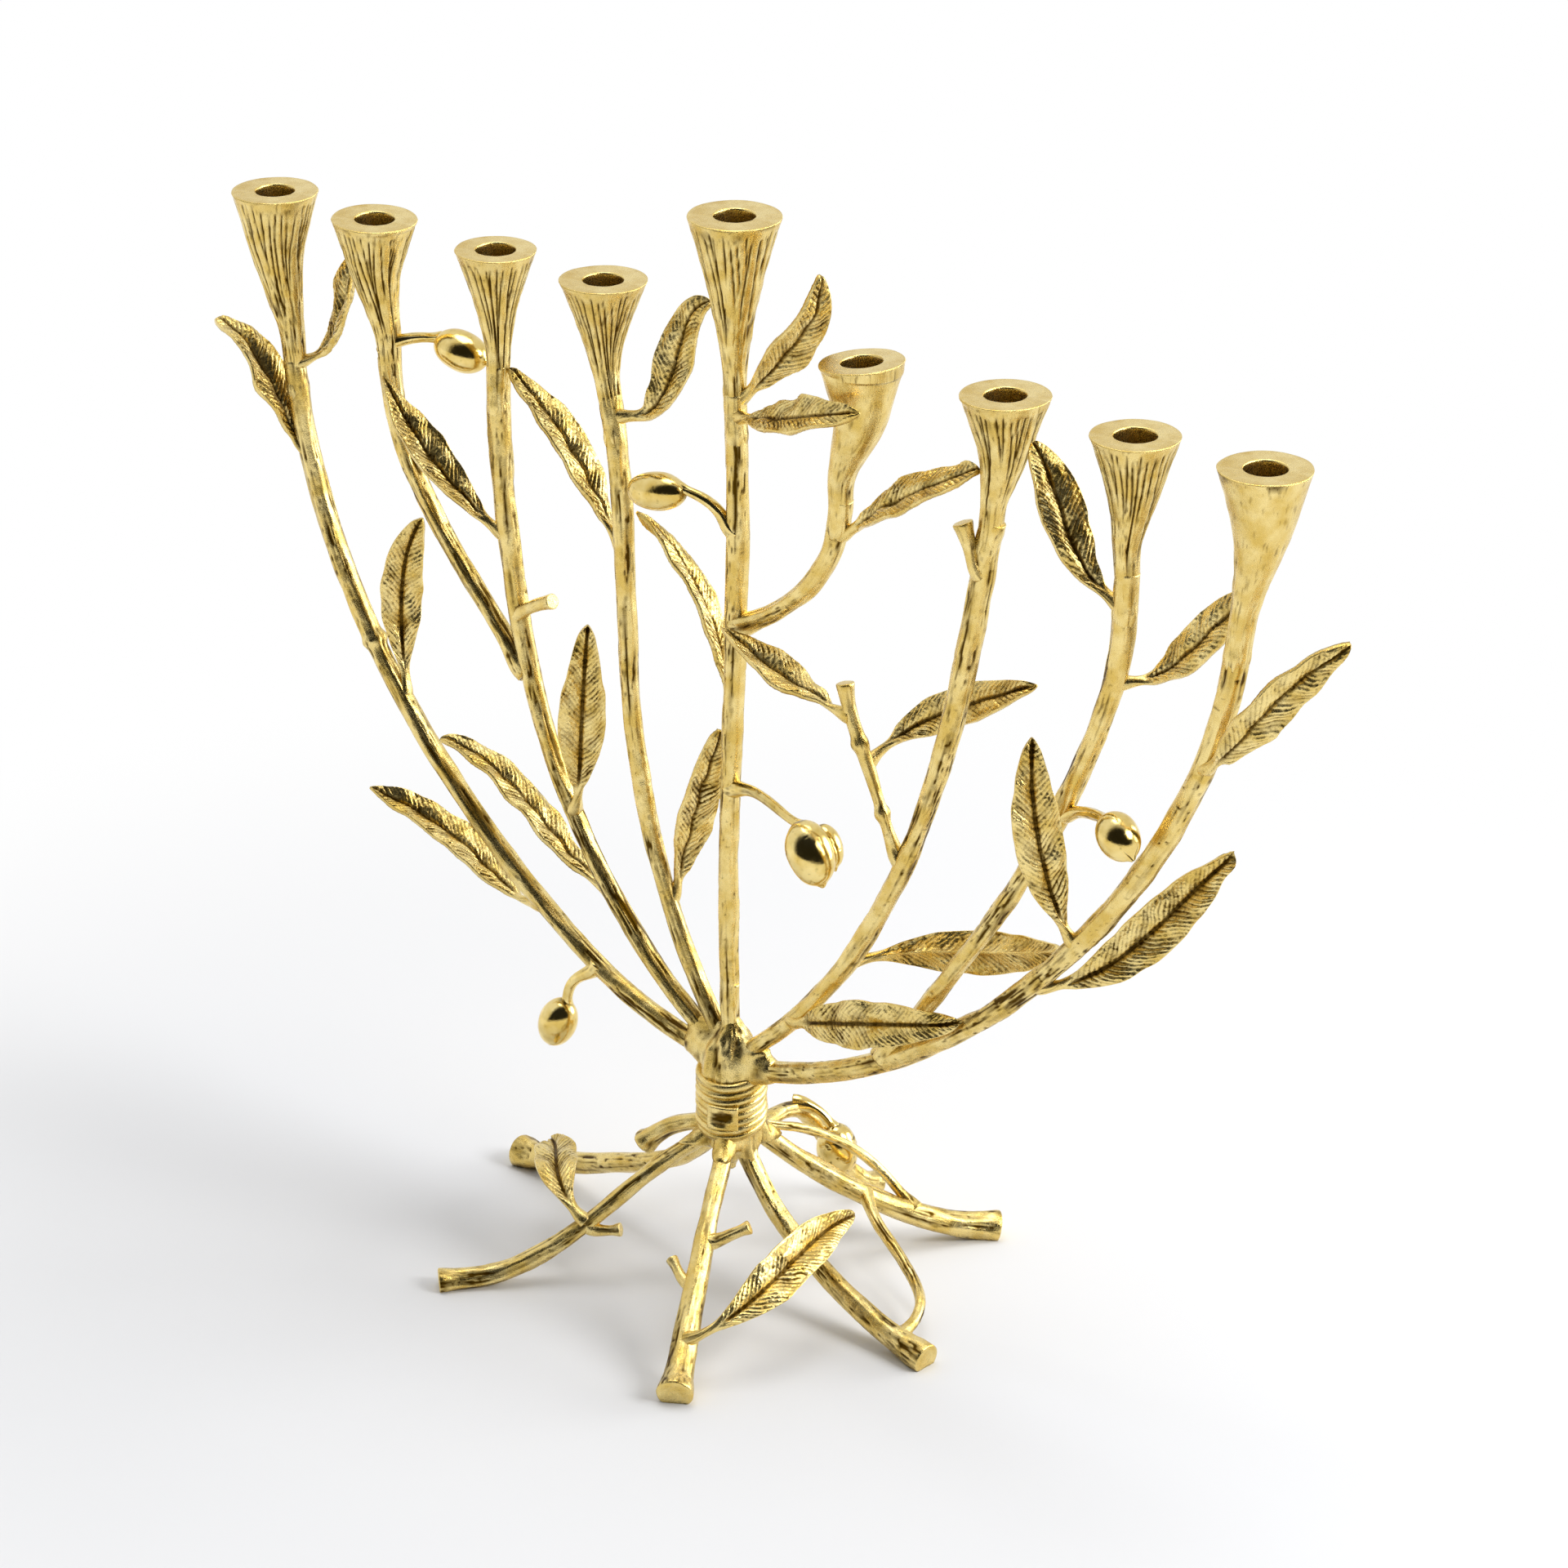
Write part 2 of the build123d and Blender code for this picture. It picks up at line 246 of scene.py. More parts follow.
def lattice(i, j, k, seed):
    """A fixed number from 0 to 1 for each lattice point."""
    n = (i * 374761393 + j * 668265263 + k * 2147483647 + seed * 974634777) & 0xFFFFFFFF
    n = ((n ^ (n >> 13)) * 1274126177) & 0xFFFFFFFF
    n = ((n ^ (n >> 16)) * 2246822519) & 0xFFFFFFFF
    return ((n ^ (n >> 15)) & 0xFFFFFF) / float(0xFFFFFF)


def noise(where, scale, seed=0):
    """Smooth noise from -1 to 1 over 3-D points; scale is the size of a lump, one number or three."""
    p = where / np.asarray(scale, float)
    base = np.floor(p).astype(np.int64)
    t = p - base
    t = t * t * (3 - 2 * t)
    total = 0.0
    for di in (0, 1):
        for dj in (0, 1):
            for dk in (0, 1):
                weight = 1.0
                for axis, d in enumerate((di, dj, dk)):
                    weight = weight * (t[..., axis] if d else 1 - t[..., axis])
                corner = base + (di, dj, dk)
                total = total + weight * lattice(corner[..., 0], corner[..., 1], corner[..., 2], seed)
    return total * 2 - 1


def pits(where, size, share, seed):
    """Small round hollows: 0 on the sound surface, up to 1 in a pit."""
    return np.clip((noise(where, size, seed) - (1 - 2 * share)) / (2 * share), 0, 1)


def seed_of(name):
    return sum((k + 3) * ord(c) for k, c in enumerate(name)) % 9973


# ---- mesh making

def make_mesh(name, points, quads, tris, shade_and_stain, skin):
    """A smooth mesh with a darkness per point, painted shade by how deep in a recess it is plus stains, and
    skin, its place on the unbent piece.
    """
    mesh = bpy.data.meshes.new(name)
    mesh.vertices.add(len(points))
    mesh.vertices.foreach_set("co", (points / MM).astype(np.float32).ravel())
    corners = np.concatenate([quads.ravel(), tris.ravel()]).astype(np.int32)
    sizes = np.concatenate([np.full(len(quads), 4), np.full(len(tris), 3)]).astype(np.int32)
    mesh.loops.add(len(corners))
    mesh.loops.foreach_set("vertex_index", corners)
    mesh.polygons.add(len(sizes))
    mesh.polygons.foreach_set("loop_start", np.concatenate([[0], np.cumsum(sizes)[:-1]]).astype(np.int32))
    mesh.polygons.foreach_set("loop_total", sizes)
    mesh.polygons.foreach_set("use_smooth", np.ones(len(sizes), bool))
    mesh.update(calc_edges=True)
    mesh.validate()
    # painted shade in recesses, with the stains, as one darkness per point
    deep = mesh.attributes.new("shade_and_stain", "FLOAT", "POINT")
    deep.data.foreach_set("value", shade_and_stain.astype(np.float32))
    place = mesh.attributes.new("skin", "FLOAT_VECTOR", "POINT")
    place.data.foreach_set("vector", skin.astype(np.float32).ravel())
    return mesh


def closed_skin(rings, shade_and_stain, skin):
    """A closed mesh from rings of points, shape (n, m, 3), with a point in the middle of each end."""
    n, m = rings.shape[:2]
    grid = np.arange(n * m).reshape(n, m)
    right = np.roll(grid, -1, axis=1)
    quads = np.stack([grid[:-1], right[:-1], right[1:], grid[1:]], -1).reshape(-1, 4)
    first, last = n * m, n * m + 1
    tris = np.concatenate([
        np.stack([np.full(m, first), right[0], grid[0]], 1),
        np.stack([np.full(m, last), grid[-1], right[-1]], 1),
    ])
    points = np.concatenate([rings.reshape(-1, 3), rings[0].mean(0)[None], rings[-1].mean(0)[None]])
    shade_and_stain = np.concatenate([shade_and_stain.ravel(), [shade_and_stain[0].mean()], [shade_and_stain[-1].mean()]])
    skin = np.concatenate([skin.reshape(-1, 3), skin[0].mean(0)[None], skin[-1].mean(0)[None]])
    return points, quads, tris, shade_and_stain, skin


def merge(parts):
    """Several closed skins as one."""
    out, base = [[] for _ in range(5)], 0
    for points, quads, tris, shade_and_stain, skin in parts:
        for store, value in zip(out, (points, quads + base, tris + base, shade_and_stain, skin)):
            store.append(value)
        base += len(points)
    return [np.concatenate(v) for v in out]


def piece(name, node, parts, material):
    """The finished piece: it stands for its CAD node and rides on the one body."""
    mesh = make_mesh(name, *merge(parts))
    mesh.materials.append(material)
    obj = bpy.data.objects.new(name, mesh)
    bpy.context.scene.collection.objects.link(obj)
    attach(obj, "root")
    if node:
        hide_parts(node)
    return obj


def carried_frame(path):
    """Axes across a path that turn with it and don't twist."""
    way = tangents(path)
    side = np.empty_like(path)
    helper = np.array((0.0, 1.0, 0.0)) if abs(way[0][1]) < 0.8 else np.array((1.0, 0.0, 0.0))
    across = helper - way[0] * (helper @ way[0])
    for k, t in enumerate(way):
        across = unit(across - t * (across @ t))
        side[k] = across
    return way, side, np.cross(way, side)


def lengthen(path, radius, start=0.0, end=0.0, step=0.5):
    """Carries the two ends of a path straight on."""
    s = lengths_along(path)
    k = max(1, min(len(s) - 1, int(np.searchsorted(s, 3.5))))
    back, ahead = unit(path[0] - path[k]), unit(path[-1] - path[-1 - k])
    for_start = [path[0] + back * d for d in np.arange(start, 0.01, -step)]
    for_end = [path[-1] + ahead * d for d in np.arange(step, end + 0.01, step)]
    path = np.concatenate([np.array(for_start).reshape(-1, 3), path, np.array(for_end).reshape(-1, 3)])
    radius = np.concatenate([np.full(len(for_start), radius[0]), radius, np.full(len(for_end), radius[-1])])
    return path, radius


def straightened(angle, along, radius):
    """Where each point round a bar would lie if the bar were straight."""
    s = along[:, None] + 0 * angle[None]
    return np.stack([radius[:, None] * np.cos(angle), radius[:, None] * np.sin(angle), s], -1)


def outward(path, angle):
    """The direction out of a path at each angle round it, and the way along the path."""
    way, side, up = carried_frame(path)
    return side[:, None] * np.cos(angle)[:, None] + up[:, None] * np.sin(angle)[:, None], way


# sizes of the marks in cast bark, across and along a bar
LUMPS, SWELLS, FLUTES = (3.0, 3.0, 7.0), (6, 6, 15), (1.15, 1.15, 16.0)
FISSURES, SCRATCHES, WORN = (0.6, 0.6, 8.0), (0.4, 0.4, 2.0), (1.7, 1.7, 16.0)
SMALL_PIT, LARGE_PIT, PIT_SHARE = 0.8, 1.6, 0.16


def bark(angle, along, radius, seed, strength=1.0, pitted=0.0):
    """Cast bark on a bar: lumps, broken grain along the length, and pits. Returns height and painted shade in
    the fissures, scratches, pits and flute valleys.
    """
    spot = straightened(angle, along, radius)
    lumps = noise(spot, LUMPS, seed) * 0.24 + noise(spot, SWELLS, seed + 1) * 0.22
    flute = noise(spot, FLUTES, seed + 8)
    valley = np.clip(-flute - 0.2, 0, 1)
    unworn = np.clip(noise(spot, WORN, seed + 4) * 1.3 + 0.55, 0, 1)
    fissure = np.clip(-noise(spot, FISSURES, seed + 2) - 0.08, 0, 1) * unworn
    scratch = np.clip(-noise(spot, SCRATCHES, seed + 3) - 0.15, 0, 1)
    hole = pits(spot, SMALL_PIT, PIT_SHARE, seed + 5) * (0.5 + pitted)
    hole = hole + pits(spot, LARGE_PIT, PIT_SHARE, seed + 6) * pitted
    height = lumps + flute * 0.28 - fissure * 0.42 - scratch * 0.2 - hole * 0.26
    # painted shade: fissures, scratches, pits and flute valleys are coloured darker
    shade_and_stain = np.clip(fissure * 1.4 + scratch * 1.2 * unworn + hole * 0.8 + valley * 0.7, 0, 1)
    return height * strength, np.clip(shade_and_stain * strength, 0, 1)


# the rings that close a bar: (share of its radius, how far ahead, in radii)
END_RINGS = {
    "cut": [(0.97, 0.16), (0.9, 0.26), (0.7, 0.27), (0.45, 0.24), (0.2, 0.26)],
    "round": [(0.97, 0.22), (0.88, 0.45), (0.72, 0.66), (0.5, 0.84), (0.25, 0.95)],
    "hollow": [(0.97, 0.14), (0.9, 0.2), (0.78, 0.1), (0.66, -0.35), (0.5, -0.75), (0.25, -0.8)],
}
CUT_FLATNESS = 0.35         # a cut end bulges this much less than its rings say


def bar_skin(path, radius, seed, strength=1.0, pitted=0.0, around=36, flare=(0, 1), swell=(0, 1), end="cut",
             step=0.55, swellings=()):
    """A cast bar round a path: flare (height, length) where it is brazed on, swell the same at its far end.

    swellings are (share of the length, height, width)."""
    path, radius = resample(path, step, radius)
    path, radius = blur(path, 2.2 / step), blur(radius, 1.5 / step)
    along = lengths_along(path)
    total = along[-1]
    radius = radius + flare[0] * np.exp(-((along / flare[1]) ** 1.5))
    radius = radius + swell[0] * np.exp(-(((total - along) / swell[1]) ** 2))
    for place, height, width in swellings:
        radius = radius + height * np.exp(-(((along - place * total) / width) ** 2))
    angle = np.linspace(0, TAU, around, endpoint=False)
    height, shade_and_stain = bark(angle, along, radius, seed, strength, pitted)
    if end == "cut":
        height = height * np.clip((total - along) / 2.5, 0.25, 1)[:, None]
    out, way = outward(path, angle)
    rings = path[:, None] + out * (radius[:, None] + height)[..., None]
    skin = straightened(angle, along, radius)
    last, centre = rings[-1], path[-1]
    for share, ahead in END_RINGS[end]:
        bulge = ahead * radius[-1] * (CUT_FLATNESS if end == "cut" else 1)
        ring = centre + (last - centre) * share + way[-1] * bulge
        end_relief = noise(ring, 0.9, seed + 9)[:, None] * 0.05
        # painted shade where the end face dips in
        dark = 0.12 * (end_relief[:, 0] < -0.02)
        # a hollow end is painted in deep shade inside, lightly on its lip
        if end == "hollow":
            dark = np.full(around, 0.8 if ahead < 0 else 0.1)
        rings = np.concatenate([rings, (ring + way[-1] * end_relief)[None]])
        shade_and_stain = np.concatenate([shade_and_stain, dark[None]])
        skin = np.concatenate([skin, (skin[-1] * [share, share, 1] + [0, 0, ahead])[None]])
    return rings, shade_and_stain, skin


def on_floor(rings):
    """Dresses off flat whatever would go below the floor."""
    rings[..., 2] = np.maximum(rings[..., 2], 0.0)
    return rings


def nearest_on(points, path):
    """The point of points that lies nearest to the path, and the point of the path next to it."""
    gap = np.linalg.norm(points[:, None] - path[None], axis=2)
    here, there = np.unravel_index(gap.argmin(), gap.shape)
    return points[here], path[there]


def planted(line, foot, sink=0.55):
    """Bends the start of a line into the bar it grows from; returns the points to put in front."""
    gap = foot - line[0]
    reach = np.linalg.norm(gap)
    way = unit(line[0] - line[min(2, len(line) - 1)])
    goal = line[0] + gap * sink + way * min(reach * 0.5, 2.0)
    t = np.linspace(1, 0, 5, endpoint=False)[:, None]
    return line[0] * (1 - t) ** 2 + (line[0] + way * reach * 0.45) * 2 * t * (1 - t) + goal * t * t


def bar_line(patch, start, step=2.0):
    """The middle and the radius of a round bar, carried straight on through its coped ends."""
    line, _, half, thin = slices(patch, start, step=step)
    girth = np.sqrt(half * thin)
    s = lengths_along(line)
    trust = np.ones(len(s), bool)
    for _ in range(4):
        radius = np.polyval(np.polyfit(s[trust], girth[trust], 2 if trust.sum() > 12 else 1), s)
        trust = np.abs(girth - radius) < 0.1 * radius + 0.05
    first, last = trust.argmax(), len(trust) - 1 - trust[::-1].argmax()
    line, radius = line[first : last + 1], radius[first : last + 1]
    spare = []
    for tip, inner in ((line[0], line[min(2, len(line) - 1)]), (line[-1], line[max(-3, -len(line))])):
        way = unit(tip - inner)
        near = patch[0][np.linalg.norm(patch[0] - tip, axis=1) < 9]
        spare.append(float(np.clip(((near - tip) @ way).max(), 0, 8)) if len(near) else 0.0)
    return lengthen(line, radius, *spare)


def rooted(line, radius, anchor_z, lift):
    """Leads a bar back into the bundle inside the binding."""
    first = line[0]
    out = first[:2] - TRUNK[:2]
    away = np.linalg.norm(out)
    out = out / away if away > 1.5 else out * 0
    anchor = np.array((*(TRUNK[:2] + out * 4.2), anchor_z))
    way = unit(line[3] - line[0])
    gap = np.linalg.norm(first - anchor)
    t = np.linspace(0, 1, max(4, int(gap / 0.8)), endpoint=False)[:, None]
    lead = (2 * t**3 - 3 * t**2 + 1) * anchor + (t**3 - 2 * t**2 + t) * gap * np.array((0, 0, lift))
    lead = lead + (3 * t**2 - 2 * t**3) * first + (t**3 - t**2) * gap * way
    return np.concatenate([lead, line]), np.concatenate([np.full(len(lead), radius[0]), radius])


# ---- skins for leaves, olives, cups, trunk, wire

def plant(line, radius, foot):
    """A bar with its start bent into the bar it grows from."""
    grown = planted(line, foot)
    return np.concatenate([grown, line]), np.concatenate([np.full(len(grown), radius[0]), radius])


LEAF_STEP, LEAF_AROUND = 0.26, 54       # spacing of a leaf's rings, points across its upper side
VEIN_SPACING, VEIN_SLANT = 1.7, 1.25
LOBE_SPACING, LOBE_SLANT = 5.2, 1.35    # the wider waves that the veins ride on
TIP_LENGTH, FOOT_LENGTH = 3.2, 3.6      # where a leaf rounds off, and where its petiole widens


def leaf_slices(node, start, foot):
    """The middle, wide axis, half width and half thickness of a leaf, bent into the bar it grows from."""
    line, wide, half, thin = slices(whole(node), start, reach=12)
    line, wide, half, thin = line[1:], wide[1:], half[1:], thin[1:]
    half[:2], thin[:2] = np.minimum(half[:2], half[2]), np.minimum(thin[:2], half[2])
    grown = planted(line, foot)
    line = np.concatenate([grown, line])
    wide = np.concatenate([np.repeat(wide[:1], len(grown), 0), wide])
    half = np.concatenate([np.full(len(grown), half[0]), half])
    thin = np.concatenate([np.full(len(grown), thin[0]), thin])
    path, wide, half, thin = resample(line, LEAF_STEP, wide, half, thin)
    path, wide = blur(path, 2.0 / LEAF_STEP), blur(wide, 3.0 / LEAF_STEP)
    half, thin = blur(half, 1.2 / LEAF_STEP), blur(thin, 1.5 / LEAF_STEP)
    way = tangents(path)
    wide = unit(wide - way * (wide * way).sum(1, keepdims=True))
    return path, wide, np.cross(way, wide), half, thin


def leaf_section():
    """Round a blade: the place across it from -1 to 1, and the side, 1 above, -1 below and 0 at the edges."""
    t = np.linspace(1, -1, LEAF_AROUND + 1)
    above = (t + np.sin(t * math.pi / 2)) / 2
    side = np.concatenate([np.ones(LEAF_AROUND + 1), -np.ones(LEAF_AROUND - 1)])
    side[0] = side[LEAF_AROUND] = 0
    return np.concatenate([above, above[1:-1][::-1]]), side


def blade_marks(spot, x, u, side, b, seed):
    """Veins, lobes, grain and midrib of a blade. Returns relief and painted shade in the veins, lobe troughs,
    midrib groove and fine pits.
    """
    flat = spot * (1, 0, 1)
    s = spot[..., 2]
    above, below = np.clip(side, 0, 1)[None], np.clip(-side, 0, 1)[None]
    wobble = noise(flat, (3, 5, 4), seed + 1) * 0.3
    crest = np.abs(np.sin(math.pi * ((s - x * VEIN_SLANT) / VEIN_SPACING + wobble * 1.3)))
    vein = (1 - crest) ** 1.7 * (0.75 + 0.5 * noise(flat, (2.5, 5, 1.2), seed + 6))
    lobe = np.sin(math.pi * (s - x * LOBE_SLANT) / LOBE_SPACING + (3 * wobble + seed % 7))
    fade = np.clip(x / 0.7, 0, 1) * (1 - np.abs(u) ** 8)[None] * b
    fade = fade * (0.8 + 0.3 * noise(spot, (4, 5, 7), seed + 2))
    fine = noise(spot, (0.5, 1.0, 0.5), seed + 3)
    rib = np.exp(-((x / 0.42) ** 2)) * b
    ridge = np.exp(-((x / 0.62) ** 2)) * b
    relief = -vein * 0.4 * fade * (above + 0.7 * below) + fine * 0.1 * b + lobe * 0.3 * fade
    relief = relief - rib * 0.5 * above + ridge * 0.55 * below
    # random blotches where the painted shade in veins and fine pits runs darker
    darkening = np.clip(noise(flat, (3.0, 5, 8.0), seed + 12) - 0.1, 0, 1)
    # painted shade in the vein grooves, lobe troughs, midrib groove and fine pits
    dark = vein * (0.75 + 1.1 * darkening) * fade + np.clip(-lobe, 0, 1) * 0.3 * fade
    dark = dark + rib * 0.8 * above + np.clip(-fine - 0.3, 0, 1) * (0.4 + darkening) * b
    return relief, dark


def leaf_skin(node, start, foot, seed, reverse=False):
    """A petiole that opens into a blade with a grooved midrib, slanting veins and a raised, wavy edge."""
    path, wide, face, half, thin = leaf_slices(node, start, foot)
    if (face @ LEAF_FRONT).mean() * (-1 if reverse else 1) < 0:
        face, wide = -face, -wide
    s = lengths_along(path)
    blade = np.clip((half / np.maximum(thin, 0.3) - 1.25) / 1.6, 0, 1)
    blade = blur(blade * blade * (3 - 2 * blade), 1.0 / LEAF_STEP)
    tip = np.clip((s - (s[-1] - TIP_LENGTH)) / (TIP_LENGTH + 0.1), 0, 1)
    tip = np.sqrt(np.clip(1 - tip**2, 0.02, 1))
    wavy = noise(np.stack([s, s * 0, s * 0], 1), 4.5, seed)
    base = np.exp(-((s / FOOT_LENGTH) ** 2.2))
    half = half * (1 + blade * (0.05 + 0.07 * wavy)) * tip + base
    thin = thin * (0.35 + 0.65 * tip) + base

    u, side = leaf_section()
    x = np.abs(u)[None] * half[:, None]
    b = blade[:, None]
    far = s[:, None] + 0 * x
    spot = np.stack([u[None] * half[:, None], side[None] * 2 + 0 * x, far], -1)
    stem = thin[:, None] * np.sqrt(np.clip(1 - u * u, 0, 1))[None]
    body = 0.36 + 0.42 * (1 - np.abs(u) ** 2.2)[None]
    body = body + 0.3 * np.exp(-((half[:, None] * (1 - np.abs(u)) / 0.6) ** 2))
    thick = stem * (1 - b) + np.minimum(body, thin[:, None] + 0.2) * b
    fold = half[:, None] * (0.3 * np.abs(u) + 0.12 * np.sin(math.pi * np.abs(u)))[None]
    ripple = 1.1 * noise(np.stack([far, np.sign(u)[None] * 9 + 0 * x, 0 * x], -1), 7.0, seed + 7)
    fold = fold + ripple * (u * u)[None] + noise(spot * (1, 0, 1), (3.0, 9, 5.0), seed + 8) * 0.5
    relief, dark = blade_marks(spot, x, u, side, b, seed)
    turn = np.linspace(0, TAU, len(u), endpoint=False)
    stem_height, stem_dark = bark(turn, s, half * 0 + 1.3, seed + 5, 0.5)
    relief = relief + stem_height * (1 - b) * 0.7
    dark = dark + stem_dark * (1 - b)
    y = side[None] * (thick + relief) + fold * b
    rings = path[:, None] + wide[:, None] * (u[None] * half[:, None])[..., None]
    return rings + face[:, None] * y[..., None], np.clip(dark, 0, 1), spot


def fruit_skin(points, away_from, seed, pitted=0.0, star=0.0):
    """An olive: an egg with a nub at its free end, a collar at its stem, and casting pits."""
    axis = np.linalg.svd(points - points.mean(0), full_matrices=False)[2][0]
    if ((points.max(0) + points.min(0)) / 2 - away_from) @ axis < 0:
        axis = -axis
    span = (points - points.mean(0)) @ axis
    half = np.ptp(span) / 2
    middle = points.mean(0) + axis * (span.max() + span.min()) / 2
    far = (points - middle) @ axis
    off = (points - middle) - np.outer(far, axis)
    radius = np.percentile(np.linalg.norm(off[np.abs(far) < half * 0.5], axis=1), 97)
    side = unit(np.cross(axis, (0.3, 0.5, 0.8)))
    up = np.cross(axis, side)
    tilt = np.linspace(-math.pi / 2 + 0.04, math.pi / 2 - 0.04, 90)
    angle = np.linspace(0, TAU, 84, endpoint=False)
    nub = np.exp(-(((math.pi / 2 - tilt) / 0.16) ** 2))
    collar = np.exp(-(((tilt + math.pi / 2) / 0.35) ** 2))
    z = half * np.sin(tilt) + 1.0 * nub
    r = radius * np.cos(tilt) ** 0.94 + 0.35 * collar
    circle = side * np.cos(angle)[:, None] + up * np.sin(angle)[:, None]
    rings = middle + axis * z[:, None, None] + circle[None] * r[:, None, None]
    lumps = noise(rings, 4.5, seed) * 0.16
    hole = pits(rings, SMALL_PIT, 0.05 + 0.2 * pitted, seed + 1) * (0.3 + 0.5 * pitted)
    hole = hole + pits(rings, 1.5, PIT_SHARE, seed + 2) * pitted * 0.8
    scar = np.exp(-((np.sin(angle * 2.5)[None] * r[:, None] / 0.35) ** 2))
    scar = scar * np.clip((tilt[:, None] - 0.75) * 2, 0, 1) * star
    rings = rings + unit(rings - middle) * (lumps - hole * 0.35 - scar * 0.35)[..., None]
    # painted shade in the pits and the scar, and round the collar at the stem
    dark = np.clip(hole * 1.3 + scar * 0.9 + 0.55 * np.exp(-(((tilt + 1.45) / 0.22) ** 2))[:, None], 0, 1)
    return rings, dark, rings - middle


CUP_STEP, CUP_AROUND = 0.4, 150
UPRIGHT = np.array((0, 0, 1.0))


def cup_line(node, centre, branch):
    """The middle and the radius of a cup, from the end of its branch to its rim."""
    points, tris = whole(node)
    low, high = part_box(node)
    line, radius = [], []
    for z in np.arange(low.z * MM + 1.0, centre[2] - 1.2, 1.0):
        cut = slice_at(points, tris, np.array((centre[0], centre[1], z)), UPRIGHT, 60)
        middle = (cut.max((0, 1)) + cut.min((0, 1))) / 2
        line.append((middle[0], middle[1], z))
        radius.append(np.ptp(cut[..., :2], axis=(0, 1)).mean() / 2)
    line, radius = np.array(line), np.array(radius)
    clear = line[:, 2] > branch[0][-1, 2] + 4.0
    below, neck = (values[-8:-1:2] for values in branch)
    line = np.concatenate([below, line[clear], [centre - UPRIGHT * 0.35]])
    radius = np.concatenate([neck, radius[clear], [(high.x - low.x) * MM / 2]])
    path, radius = resample(line, CUP_STEP, radius)
    path[:-4] = blur(path, 2 / CUP_STEP)[:-4]
    radius[:-5] = blur(radius, 1.2 / CUP_STEP)[:-5]
    return path, radius


def cup_grooves(angle, from_rim, radius, count, seed):
    """Worn grooves that run down from the rim: 0 on the sound surface, 1 in the middle of a groove."""
    rng = np.random.default_rng(seed)
    deep = np.zeros((len(from_rim), len(angle)))
    for k in range(count):
        at = TAU * (k + rng.uniform(-0.35, 0.35)) / count
        begin, length, slant = rng.uniform(0.6, 2.6), rng.uniform(14, 34), rng.uniform(-0.006, 0.012)
        bend = rng.uniform(-0.02, 0.02)
        middle = at + slant * from_rim + bend * np.sin(from_rim / 5)
        off = (angle[None] - middle[:, None] + math.pi) % TAU - math.pi
        window = np.clip((from_rim - begin) / 1.2, 0, 1) * np.clip((begin + length - from_rim) / 6, 0, 1)
        width = 0.15 + 0.12 * np.clip(from_rim / 14, 0, 1) * np.clip(1.3 - from_rim / 22, 0.2, 1)
        deep = np.maximum(deep, np.exp(-((off * (radius / width)[:, None]) ** 2)) * window[:, None])
    return deep


def cup_mouth(centre, angle, out, mouth, bore, depth, smooth, seed):
    """The rings, painted shade and skin of a cup's rim, bore wall and bore floor."""
    circle = np.stack([np.cos(angle), np.sin(angle), 0 * angle], 1)
    edge = mouth + 0.16 * noise(circle * 2.2, 1.0, seed + 6)
    ragged = noise(circle * 4, 1.0, seed + 7) * 0.12 * (1 - smooth)
    # each step is (radius, drop, painted shade): no shade on the rim, more down the bore wall, most on the bore
    # floor
    profile = [(edge + 0.02, -0.12, 0), (edge - 0.1, -0.02, 0), (edge - 0.3, 0.0, 0)]
    profile += [(edge + (bore - edge) * f, 0.0, 0) for f in (0.12, 0.25, 0.4, 0.55, 0.7, 0.82, 0.9)]
    profile += [(bore + 0.28 + ragged, -0.01, 0.0), (bore + 0.1 + ragged * 0.6, -0.12, 0.05)]
    profile += [(bore, -0.5, 0.1)]
    profile += [(bore, -d, 0.1 + 0.05 * d) for d in (1.2, 2.2, 3.4, 4.8, 6.2, 7.6, 9.0, depth - 0.2)]
    profile += [(bore * f, -depth, 0.8) for f in (0.9, 0.6, 0.3)]
    rings, dark = [], []
    for r, drop, shade in profile:
        ring = centre + out * np.broadcast_to(r, (len(out),))[:, None] + UPRIGHT * drop
        if drop == 0.0:
            ring = ring + UPRIGHT * 0.035 * noise(ring, 1.3, seed + 8)[:, None]
        rings.append(ring)
        dark.append(np.full(len(out), shade))
    return np.array(rings), np.array(dark), np.array(rings) - centre + UPRIGHT * 40


